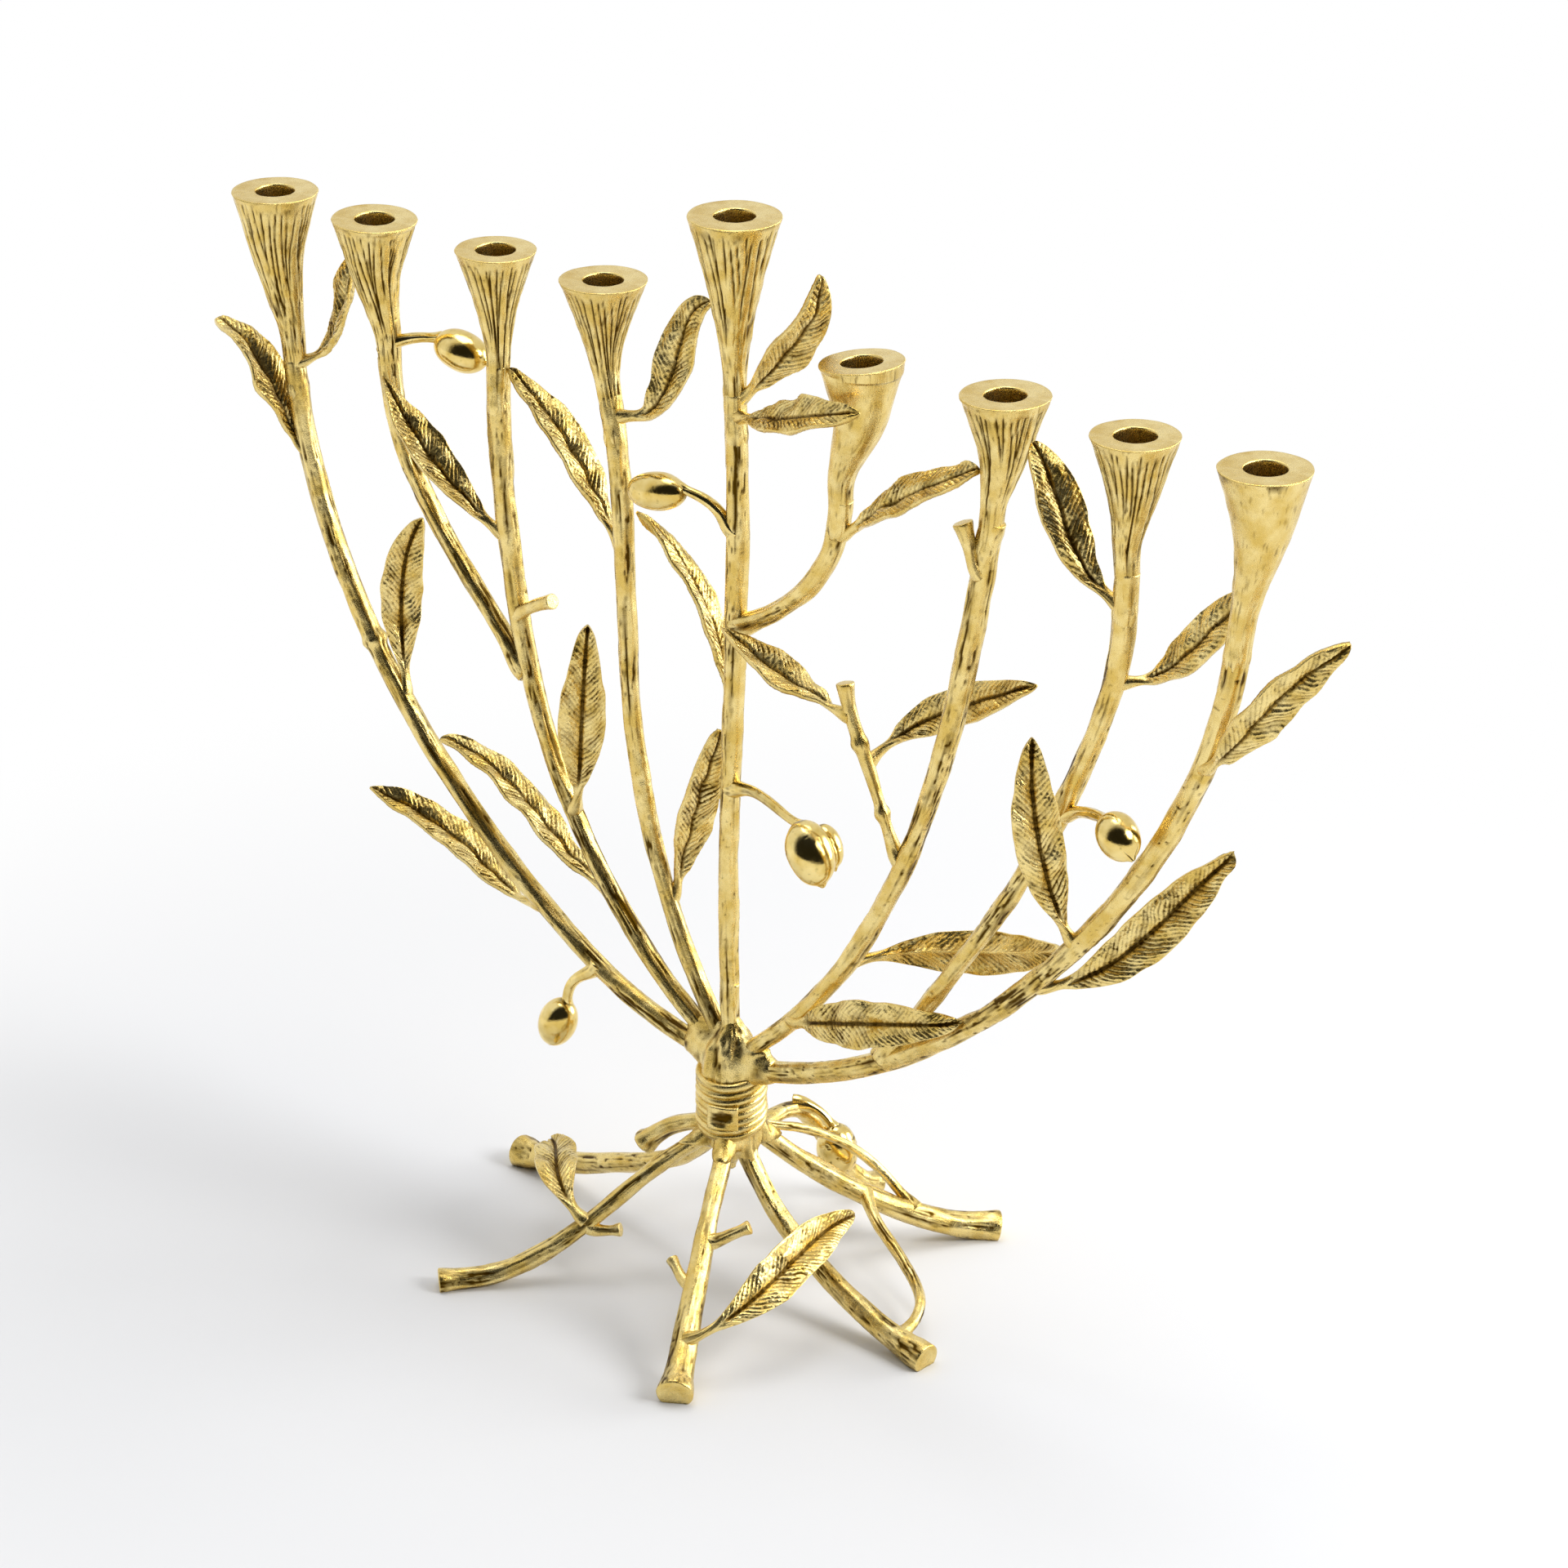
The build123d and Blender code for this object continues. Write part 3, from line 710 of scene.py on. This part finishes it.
def cup_skin(node, mount, branch, seed, grooves, smooth):
    """A trumpet with grooves down its flare, a flat rim with a crisp lip, and a candle bore."""
    centre = np.array((*mount["pos_m"][:2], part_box(node)[1].z)) * MM
    path, radius = cup_line(node, centre, branch)
    s = lengths_along(path)
    from_rim = s[-1] - s
    angle = np.linspace(0, TAU, CUP_AROUND, endpoint=False)
    spot = straightened(angle, s, radius)
    grain = noise(spot, (0.6, 0.6, 7.0), seed)
    deep = cup_grooves(angle, from_rim, radius, grooves, seed)
    bark_height, bark_dark = bark(angle, s, radius, seed + 3, 0.8)
    barky = np.clip((from_rim - 14) / 16, 0, 1)[:, None] * (1 - 0.5 * smooth)
    hole = pits(spot, SMALL_PIT, 0.1, seed + 4) * (1 - 0.4 * smooth)
    height = grain * 0.11 * (1 - 0.5 * smooth) + noise(spot, 3.5, seed + 1) * 0.12
    height = height - deep * 0.6 * (1 - 0.6 * smooth) + bark_height * barky - hole * 0.14
    # blotchy darkening in the last few mm under the rim
    under_rim_dark = np.clip(noise(spot, (4, 4, 3), seed + 5) - 0.2, 0, 1) * np.exp(-from_rim / 4)[:, None]
    # darker streaks where the fine grain runs low, with the darkening under the rim
    grain_and_rim_dark = np.clip(-grain - 0.25, 0, 1) * 0.7 + under_rim_dark
    # painted shade in the grooves, pits and bark, with those streaks
    shade_and_stain = np.clip(deep + hole * 0.5 + bark_dark * barky + grain_and_rim_dark, 0, 1)
    join = 0.18 * np.exp(-(((s - 3.2) / 1.6) ** 2)) - 0.3 * np.exp(-((s / 1.0) ** 2))
    out, _ = outward(path, angle)
    rings = path[:, None] + out * (radius[:, None] + height + join[:, None])[..., None]
    bore, depth = mount["dims"]["r_mm"], mount["dims"]["length_mm"]
    mouth = cup_mouth(centre, angle, out[-1], radius[-1], bore, depth, smooth, seed)
    return [np.concatenate(pair) for pair in zip((rings, shade_and_stain, spot), mouth)]


KNOT_SINK = 2.6         # how far the knot ends up under the roots and branches that leave it
KNOT_BLEND = 1.2        # how wide the webs between them are
KNOT_OVERLAP = 3.4      # points of a path that count at once, at the spacing that they have here


def knot_skin(lines, core, low, high, seed):
    """The trunk: the surface that the merged roots and branches make round the axis, with webs between them.

    lines are (path, radius), core is (heights, radii) of the solid middle."""
    heights = np.arange(low, high, 0.6)
    angle = np.linspace(0, TAU, 108, endpoint=False)
    reach = np.linspace(1.0, 15.0, 44)
    balls = np.concatenate([np.column_stack([p, r]) for p, r in lines])
    out = np.zeros((len(heights), len(angle)))
    for i, z in enumerate(heights):
        near = balls[np.abs(balls[:, 2] - z) < 12]
        away = max((BOUND_LOW - 4 - z) / 10, (z - BOUND_HIGH - 4) / 12)
        sunk = KNOT_SINK * np.clip(away, 0, 1) ** 1.5
        x = reach[:, None] * np.cos(angle)[None]
        y = reach[:, None] * np.sin(angle)[None]
        if len(near):
            level = (z - near[:, 2]) ** 2
            gap = np.sqrt((x[..., None] - near[:, 0]) ** 2 + (y[..., None] - near[:, 1]) ** 2 + level)
            merged = np.exp(-(gap - near[:, 3] + sunk) / KNOT_BLEND).sum(-1)
            field = -KNOT_BLEND * np.log(merged / KNOT_OVERLAP)
        else:
            field = reach[:, None] + 0 * x
        field = np.minimum(field, reach[:, None] - np.interp(z, core[0], core[1]))
        outside = field > 0
        first = np.where(outside.any(0), outside.argmax(0), len(reach) - 1)
        first = np.maximum(first, 1)
        columns = np.arange(len(angle))
        a, b = field[first - 1, columns], field[first, columns]
        share = np.clip(a / np.where(a - b == 0, 1, a - b), 0, 1)
        out[i] = reach[first - 1] + share * (reach[first] - reach[first - 1])
    padded = np.concatenate([out[:, -6:], out, out[:, :6]], 1)
    out = blur(blur(padded.T, 1.0).T[:, 6:-6], 0.8)
    around = out[..., None] * np.stack([np.cos(angle), np.sin(angle)], -1)[None]
    rings = np.concatenate([around, np.broadcast_to(heights[:, None, None], out.shape + (1,))], -1)
    fissure = np.clip(-noise(rings, (0.8, 0.8, 5.0), seed), 0, 1)
    fissure = fissure * np.clip(noise(rings, 3.0, seed + 1) + 0.6, 0, 1)
    hole = pits(rings, 0.9, 0.2, seed + 2)
    flute = noise(rings, (1.5, 1.5, 14.0), seed + 4)
    height = noise(rings, 3.0, seed + 3) * 0.25 - fissure * 0.4 - hole * 0.15 + flute * 0.5
    # painted shade in the fissures, pits and flute valleys
    shade_and_stain = np.clip(fissure + hole * 0.4, 0, 1) + np.clip(-flute - 0.25, 0, 1)
    return rings + unit(rings * (1, 1, 0)) * height[..., None], np.clip(shade_and_stain, 0, 1), rings


WIRE_START = 2.2        # where round the trunk the wire begins, in radians


def wire_skin(radius, low, high, wire, turns, tilt, seed):
    """One long wire wound round the trunk, its turns running downhill to the front right."""
    count = int(turns * 72)
    turn = np.linspace(0, turns * TAU, count)
    height = low + wire / 2 + (high - low - wire) * turn / (turns * TAU)
    spin = turn + WIRE_START
    loose = noise(np.stack([np.cos(spin) * 2, np.sin(spin) * 2, turn], 1), 1.5, seed) * 0.22
    ring = radius - wire / 2 * 0.95 + loose
    path = np.stack([ring * np.cos(spin), ring * np.sin(spin), height + tilt * np.sin(spin - 0.3)], 1)
    path, size = lengthen(path, np.full(count, wire / 2 * 1.12))
    return bar_skin(path, size, seed, strength=0.4, pitted=0.4, around=22, step=0.5, end="round")


def tie_skin(radius, centre_angle, low, high, width, seed):
    """The hammered plate that closes the binding: a raised frame round a sunken field."""
    across = np.linspace(-width / 2, width / 2, 30)
    up = np.linspace(low, high, 30)
    from_side = width / 2 - np.abs(across) + 0.01
    from_end = (high - low) / 2 - np.abs(up - (low + high) / 2) + 0.01
    margin = 1 / (1 / from_side[None] ** 2 + 1 / from_end[:, None] ** 2) ** 0.5
    grid = np.stack(np.meshgrid(across, up), -1)
    spot = np.concatenate([grid, np.zeros(margin.shape + (1,))], -1)
    field = np.clip((margin - 1.15 + noise(spot, 1.8, seed + 1) * 0.5) / 0.7, 0, 1)
    field = field * (0.75 + 0.25 * noise(spot, (3.0, 0.7, 1.0), seed + 2))
    height = radius + 0.7 * np.clip(margin / 0.35, 0, 1) ** 0.5 - field * 0.65 + noise(spot, 1.6, seed) * 0.12
    angle = centre_angle + grid[..., 0] / radius
    outer = np.stack([height * np.cos(angle), height * np.sin(angle), grid[..., 1]], -1)
    inner = np.stack([(radius - 2) * np.cos(angle), (radius - 2) * np.sin(angle), grid[..., 1]], -1)
    # the sunken field goes out as painted shade on the plate
    return outer, inner, field, spot


def plate(outer, inner, dark, spot):
    """A closed slab from its outer and inner faces."""
    n, m = outer.shape[:2]
    grid = np.arange(n * m).reshape(n, m)
    back = grid + n * m
    face = np.stack([grid[:-1, :-1], grid[:-1, 1:], grid[1:, 1:], grid[1:, :-1]], -1).reshape(-1, 4)
    rear = np.stack([back[:-1, :-1], back[1:, :-1], back[1:, 1:], back[:-1, 1:]], -1).reshape(-1, 4)
    loop = np.concatenate([grid[0, :-1], grid[:-1, -1], grid[-1, ::-1][:-1], grid[::-1, 0][:-1]])
    after = np.roll(loop, -1)
    wall = np.stack([after, loop, loop + n * m, after + n * m], 1)
    points = np.concatenate([outer.reshape(-1, 3), inner.reshape(-1, 3)])
    return (
        points, np.concatenate([face, rear, wall]), np.zeros((0, 3), int),
        np.concatenate([dark.ravel(), dark.ravel() * 0]), np.concatenate([spot.reshape(-1, 3)] * 2),
    )


# ---- materials

def shader_node(tree, kind, **values):
    """Adds a node. Each value is a setting, the constant of a socket, or the socket that feeds one."""
    made = tree.nodes.new(kind)
    for key, value in values.items():
        if key not in made.inputs:
            setattr(made, key, value)
        elif isinstance(value, bpy.types.NodeSocket):
            tree.links.new(value, made.inputs[key])
        else:
            made.inputs[key].default_value = value
    return made


# BRIGHT and MID are the metal's own tones; the third colour is painted shade for recesses and the tone of the
# darker grain streaks
BRIGHT, MID, SHADE_AND_STREAK_TONE = (0.92, 0.73, 0.30), (0.74, 0.52, 0.13), (0.09, 0.045, 0.002)


def brass(name, smooth, rough, grain, bump, coarse):
    """Cast brass: colour from painted shade by recess depth, darker grain streaks and slow tone drift,
    roughness and relief from fine grain.
    """
    material = bpy.data.materials.new(name)
    material.use_nodes = True
    tree = material.node_tree
    tree.nodes.clear()

    def node(kind, **values):
        return shader_node(tree, kind, **values)

    def ramp(source, low, high):
        ends = {"From Min": low[0], "From Max": low[1], "To Min": high[0], "To Max": high[1]}
        return node("ShaderNodeMapRange", Value=source, **ends).outputs["Result"]

    def math_node(operation, a, b):
        made = node("ShaderNodeMath", operation=operation)
        tree.links.new(a, made.inputs[0])
        if isinstance(b, float):
            made.inputs[1].default_value = b
        else:
            tree.links.new(b, made.inputs[1])
        return made.outputs[0]

    def mix(factor, a, b):
        made = node("ShaderNodeMix", data_type="RGBA", Factor=factor)
        for socket, value in ((made.inputs[6], a), (made.inputs[7], b)):
            if isinstance(value, tuple):
                socket.default_value = (*value, 1)
            else:
                tree.links.new(value, socket)
        return made.outputs[2]

    shade_and_stain = node("ShaderNodeAttribute", attribute_name="shade_and_stain").outputs["Fac"]
    skin = node("ShaderNodeAttribute", attribute_name="skin").outputs["Vector"]
    stretched = node("ShaderNodeMapping", Vector=skin, Scale=grain).outputs["Vector"]
    streaks = node("ShaderNodeTexNoise", Vector=stretched, Scale=1.0, Detail=6.0, Roughness=0.6)
    streaks = streaks.outputs["Fac"]
    tone = node("ShaderNodeTexNoise", Vector=skin, Scale=0.16, Detail=3.0).outputs["Fac"]
    speck = node("ShaderNodeTexNoise", Vector=skin, Scale=coarse, Detail=4.0, Roughness=0.7)
    speck = speck.outputs["Fac"]
    colour = mix(ramp(tone, (0.38, 0.64), (0.0, 1.0)), BRIGHT, MID)
    # painted shade from the recess attribute, plus the darker grain streaks
    darkening = math_node("ADD", shade_and_stain, ramp(streaks, (0.56, 0.8), (0.0, 0.5)))
    colour = mix(ramp(darkening, (0.1, 0.8), (0.0, 1.0)), colour, SHADE_AND_STREAK_TONE)
    dull = ramp(shade_and_stain, (0.1, 0.9), (0.0, 0.22))
    roughness = math_node("ADD", ramp(speck, (0.35, 0.7), (smooth, rough)), dull)
    relief = math_node("ADD", math_node("MULTIPLY", streaks, 0.7), math_node("MULTIPLY", speck, 0.5))
    bumped = node("ShaderNodeBump", Strength=bump, Distance=0.00025, Height=relief).outputs["Normal"]
    shader = node("ShaderNodeBsdfPrincipled", Metallic=1.0, Roughness=roughness, Normal=bumped)
    tree.links.new(colour, shader.inputs["Base Color"])
    node("ShaderNodeOutputMaterial", Surface=shader.outputs[0])
    return material


BARK = brass("bark brass", 0.14, 0.36, (2.2, 2.2, 0.28), 0.55, 2.6)
LEAF = brass("leaf brass", 0.16, 0.34, (1.6, 1.6, 1.2), 0.5, 3.0)
OLIVE = brass("olive brass", 0.07, 0.2, (0.6, 0.6, 0.6), 0.18, 2.0)
CUP = brass("cup brass", 0.16, 0.36, (2.0, 2.0, 0.35), 0.5, 3.0)
WIRE = brass("wire brass", 0.14, 0.36, (1.5, 1.5, 0.5), 0.5, 2.4)


# ---- assembly

BOUND_LOW, BOUND_HIGH = (corner.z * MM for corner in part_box("binding"))
trunk_low, trunk_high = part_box("trunk")
TRUNK = np.array(((trunk_low + trunk_high) / 2)[:]) * MM
TRUNK_TOP = trunk_high.z * MM
TRUNK_LINE = np.array([(TRUNK[0], TRUNK[1], z) for z in np.linspace(trunk_low.z * MM, TRUNK_TOP, 24)])
CARRIERS = {"branch_2": "branch_3", "branch_6": "branch_5", "branch_8": "branch_9", "side_twig": "branch_7"}
BRANCHES = [f"branch_{k}" for k in (5, 1, 9, 3, 7, 4, 2, 6, 8)]     # each after the one that carries it
BARS = BRANCHES + ["side_twig"] + [f"root_{k}" for k in range(1, 7)]
ROUGHER = ("branch_9", "root_3", "root_5")
END_SWELLING = {"root_2": (0.9, 5.0), "root_3": (0.9, 7.0), "root_5": (1.1, 6.0)}
SWELLINGS = {"branch_1": [(0.66, 0.7, 1.6)], "side_twig": [(0.3, 0.7, 1.8), (0.68, 0.7, 1.6)]}
CARRIER_CLEARANCE = 3.2     # a fork is followed from this far off its carrier's middle

LINES = {}                  # the middle and the radius of every bar
for node in BARS:
    carrier = LINES[CARRIERS[node]][0] if node in CARRIERS else TRUNK_LINE
    patch = whole(node)
    start, foot = nearest_on(patch[0], carrier)
    line, radius = bar_line(patch, start)
    if node in CARRIERS:
        first = (np.linalg.norm(line[:, None] - carrier[None], axis=2).min(1) > CARRIER_CLEARANCE).argmax()
        LINES[node] = plant(line[first:], radius[first:], foot)
    elif node.startswith("branch"):
        LINES[node] = rooted(line, radius, BOUND_HIGH - 3, 1)
    else:
        LINES[node] = rooted(line, radius, BOUND_LOW + 3, -1)

for node in BARS:
    sawn = not node.startswith("branch")
    path, size = lengthen(*LINES[node], end=0 if sawn else 1.0)
    skin = bar_skin(
        path, size, seed_of(node), pitted=0.9 if node in ROUGHER else 0.35, around=40,
        flare=(1.0, 7.0) if node in CARRIERS else (0.2, 9.0),
        swell=END_SWELLING.get(node, (0.5, 3.0) if sawn else (0, 1)), swellings=SWELLINGS.get(node, ()),
    )
    if node.startswith("root"):
        on_floor(skin[0])
    piece(node + "_bark", node, [closed_skin(*skin)], BARK)

KNOT_REACH, KNOT_ABOVE = 26, 14     # how far from the axis and over the trunk a bar still shapes the knot
near_axis = []
for node in BRANCHES + BARS[-6:]:
    path, size = resample(LINES[node][0], 0.8, LINES[node][1])
    close = np.hypot(path[:, 0] - TRUNK[0], path[:, 1] - TRUNK[1]) < KNOT_REACH
    close &= path[:, 2] < TRUNK_TOP + KNOT_ABOVE
    if close.any():
        near_axis.append((path[close], size[close] - 0.15))
core_z = (BOUND_LOW - 12, BOUND_LOW - 5, BOUND_LOW + 1, BOUND_HIGH - 1, BOUND_HIGH + 6, TRUNK_TOP)
core_r = (1.2, 6.2, 8.2, 8.2, 6.4, 1.5)
knot = knot_skin(near_axis, (core_z, core_r), BOUND_LOW - 13, TRUNK_TOP + 10, seed_of("trunk"))
piece("trunk_knot", "trunk", [closed_skin(*knot)], BARK)

WIRE_TURNS, WIRE_TILT = 8, 1.7
low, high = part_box("binding")
wrap = (high.x - low.x) * MM / 2 + 0.7
wire = (BOUND_HIGH - BOUND_LOW) / WIRE_TURNS
winding = wire_skin(wrap, BOUND_LOW - 0.4, BOUND_HIGH + 0.8, wire, WIRE_TURNS, WIRE_TILT, seed_of("wire"))
piece("binding_wire", "binding", [closed_skin(*winding)], WIRE)
tie = tie_skin(wrap + 0.1, math.radians(-66), BOUND_LOW + 3.0, BOUND_LOW + 10.0, 8.6, seed_of("tie"))
piece("binding_tie", None, [plate(*tie)], WIRE)

spines = np.concatenate([line for line, _ in LINES.values()])
braces = []
for k, patch in enumerate(solids("root_braces")):
    start, _ = nearest_on(patch[0], spines)
    path, size = lengthen(*bar_line(patch, start, step=1.5), start=2.0, end=2.0)
    path[4:-4] += noise(path[4:-4], 9.0, 5)[:, None] * (0.6, -0.4, 0.5)
    seed = seed_of("brace") + k
    skin = bar_skin(path, size, seed, strength=0.9, around=32, flare=(0.9, 4.0), swell=(0.9, 4.0))
    on_floor(skin[0])
    braces.append(closed_skin(*skin))
piece("root_braces_bark", "root_braces", braces, BARK)

found = []
for patch in solids("pruned_stubs"):
    start, foot = nearest_on(patch[0], spines)
    found.append(plant(*bar_line(patch, start, step=1.0), foot))
thickest = max(range(len(found)), key=lambda k: found[k][1].mean())
stubs = []
for k, (line, radius) in enumerate(found):
    swell, end = ((0.7, 2.2), "hollow") if k == thickest else ((0.25, 1.5), "cut")
    skin = bar_skin(
        line, radius * 1.15, seed_of("stub") + k, strength=0.8, around=30, step=0.4, flare=(1.0, 3.6),
        swell=swell, end=end,
    )
    stubs.append(closed_skin(*skin))
piece("pruned_stubs_bark", "pruned_stubs", stubs, BARK)

for node in sorted(n for n in NODES if "_leaf" in n):
    start, foot = nearest_on(whole(node)[0], LINES[node.split("_leaf")[0]][0])
    skin = leaf_skin(node, start, foot, seed_of(node), reverse=node == "branch_7_leaf_b")
    if node.startswith("root"):
        on_floor(skin[0])
    piece(node + "_blade", node, [closed_skin(*skin)], LEAF)

PITTED = {"branch_5_olive_high": 0.5, "branch_5_olive_pair": 0.3, "root_6_olive": 1.0}
STARRED = "branch_8_olive"
for node in sorted(n for n in NODES if "_olive" in n):
    fruits, stem = [], None
    for face in patches(node):
        spread = np.linalg.svd(face[0] - face[0].mean(0), full_matrices=False)[1] / math.sqrt(len(face[0]))
        if spread[1] > 1.6 and area(*face) > 60:
            fruits.append(face[0])
        elif stem is None and spread[0] > 2.5 * spread[1]:
            stem = face
    start, foot = nearest_on(stem[0], LINES[node.split("_olive")[0]][0])
    path, size = plant(*lengthen(*bar_line(stem, start, step=1.0), end=1.2), foot)
    seed = seed_of(node)
    parts = [closed_skin(*bar_skin(
        path, size, seed, strength=0.6, around=30, step=0.4, flare=(1.4, 4.4), swell=(0.5, 1.6), end="round",
    ))]
    for k, points in enumerate(fruits):
        pitted, star = PITTED.get(node, 0.08), float(node == STARRED)
        parts.append(closed_skin(*fruit_skin(points, stem[0].mean(0), seed + 11 * k, pitted, star)))
    piece(node + "_fruit", node, parts, OLIVE)

MOUTHS = {mount["name"]: mount for mount in RECORD["mounts"]}
POLISHED = {6: 0.8, 9: 0.9}     # how smooth a cup is; the others are grooved
GROOVES = 34
for k in range(1, 10):
    node = f"cup_{k}"
    grooves, smooth = (0, POLISHED[k]) if k in POLISHED else (GROOVES, 0.0)
    skin = cup_skin(node, MOUTHS[f"candle_{k}"], LINES[f"branch_{k}"], seed_of(node), grooves, smooth)
    piece(node + "_trumpet", node, [closed_skin(*skin)], CUP)


# ---- floor, light, camera

def mixed(tree, factor, first, second):
    """One shader faded into another."""
    mix = tree.nodes.new("ShaderNodeMixShader")
    for socket, source in zip(mix.inputs, (factor, first.outputs[0], second.outputs[0])):
        tree.links.new(source, socket)
    return mix.outputs[0]


def make_floor(reach=4.0, fade_from=0.15, fade_to=0.40):
    """Pale paper that fades to plain white away from the object."""
    mesh = bpy.data.meshes.new("floor")
    corners = [(-reach, -reach, 0), (reach, -reach, 0), (reach, reach, 0), (-reach, reach, 0)]
    mesh.from_pydata(corners, [], [(0, 1, 2, 3)])
    floor = bpy.data.objects.new("floor", mesh)
    bpy.context.scene.collection.objects.link(floor)
    material = bpy.data.materials.new("floor paper")
    material.use_nodes = True
    tree = material.node_tree
    paper = tree.nodes["Principled BSDF"]
    paper.inputs["Base Color"].default_value = (0.75, 0.755, 0.77, 1)
    paper.inputs["Roughness"].default_value = 0.9
    paper.inputs["Specular IOR Level"].default_value = 0.0
    where = shader_node(tree, "ShaderNodeTexCoord").outputs["Object"]
    away = shader_node(tree, "ShaderNodeVectorMath", operation="LENGTH", Vector=where).outputs["Value"]
    fade = shader_node(tree, "ShaderNodeMapRange", interpolation_type="SMOOTHSTEP", Value=away,
                       **{"From Min": fade_from, "From Max": fade_to})
    glow = shader_node(tree, "ShaderNodeEmission", Strength=1.0)
    white = mixed(tree, fade.outputs["Result"], paper, glow)
    tree.links.new(white, tree.nodes["Material Output"].inputs["Surface"])
    mesh.materials.append(material)


def area_light(name, offset, size, power):
    """A round lamp that looks at the middle of the object from that far off."""
    data = bpy.data.lights.new(name, "AREA")
    data.shape, data.size, data.energy = "DISK", size, power
    lamp = bpy.data.objects.new(name, data)
    lamp.location = CENTRE + Vector(offset)
    lamp.rotation_mode = "QUATERNION"
    lamp.rotation_quaternion = (CENTRE - lamp.location).to_track_quat("-Z", "Y")
    bpy.context.scene.collection.objects.link(lamp)


def make_world(toward_room):
    """White all round but for the dim side of the studio, toward_room. The camera itself sees white."""
    world = bpy.data.worlds.new("studio")
    bpy.context.scene.world = world
    world.use_nodes = True
    tree = world.node_tree
    tree.nodes.clear()
    where = shader_node(tree, "ShaderNodeTexCoord").outputs["Generated"]
    dot = shader_node(tree, "ShaderNodeVectorMath", operation="DOT_PRODUCT", Vector=where)
    dot.inputs[1].default_value = toward_room
    ramp = shader_node(tree, "ShaderNodeValToRGB", Fac=dot.outputs["Value"])
    first, last = ramp.color_ramp.elements
    first.position, first.color = 0.28, (0.85, 0.85, 0.85, 1)
    last.position, last.color = 0.5, (0.02, 0.02, 0.02, 1)
    ramp.color_ramp.elements.new(0.38).color = (0.4, 0.4, 0.4, 1)
    lit = shader_node(tree, "ShaderNodeBackground", Strength=1.0, Color=ramp.outputs["Color"])
    seen = shader_node(tree, "ShaderNodeBackground", Strength=1.0, Color=(1, 1, 1, 1))
    to_camera = shader_node(tree, "ShaderNodeLightPath").outputs["Is Camera Ray"]
    shader_node(tree, "ShaderNodeOutputWorld", Surface=mixed(tree, to_camera, lit, seen))


AZIMUTH, ELEVATION, ROLL = math.radians(38.41), math.radians(25.10), math.radians(0.45)
LENS, DISTANCE = 118.5, 1.320
CENTRE = (Vector(CAD_BOX[0]) + Vector(CAD_BOX[1])) / 2
AIM = CENTRE + Vector((0.0098, 0.0067, -0.0035))
LEVEL = math.cos(ELEVATION)
BACK = Vector((math.sin(AZIMUTH) * LEVEL, -math.cos(AZIMUTH) * LEVEL, math.sin(ELEVATION)))  # toward the camera


def make_camera():
    data = bpy.data.cameras.new("camera")
    data.lens, data.sensor_width, data.sensor_fit = LENS, 36, "HORIZONTAL"
    data.clip_start, data.clip_end = 0.05, 30
    camera = bpy.data.objects.new("camera", data)
    camera.location = AIM + BACK * DISTANCE
    camera.rotation_mode = "QUATERNION"
    upright = (-BACK).to_track_quat("-Z", "Y")
    camera.rotation_quaternion = upright @ Quaternion((0, 0, 1), ROLL)
    bpy.context.scene.collection.objects.link(camera)
    bpy.context.scene.camera = camera


make_floor()
make_world((math.sin(AZIMUTH), -math.cos(AZIMUTH), 0.1))
area_light("key", (1.3, 0.35, 0.9), 0.8, 16)
area_light("edge", (0.9, 1.2, 0.25), 0.9, 10)
area_light("top", (-0.2, 0.2, 1.6), 1.0, 9)
make_camera()
bpy.context.scene.view_settings.view_transform = "Standard"
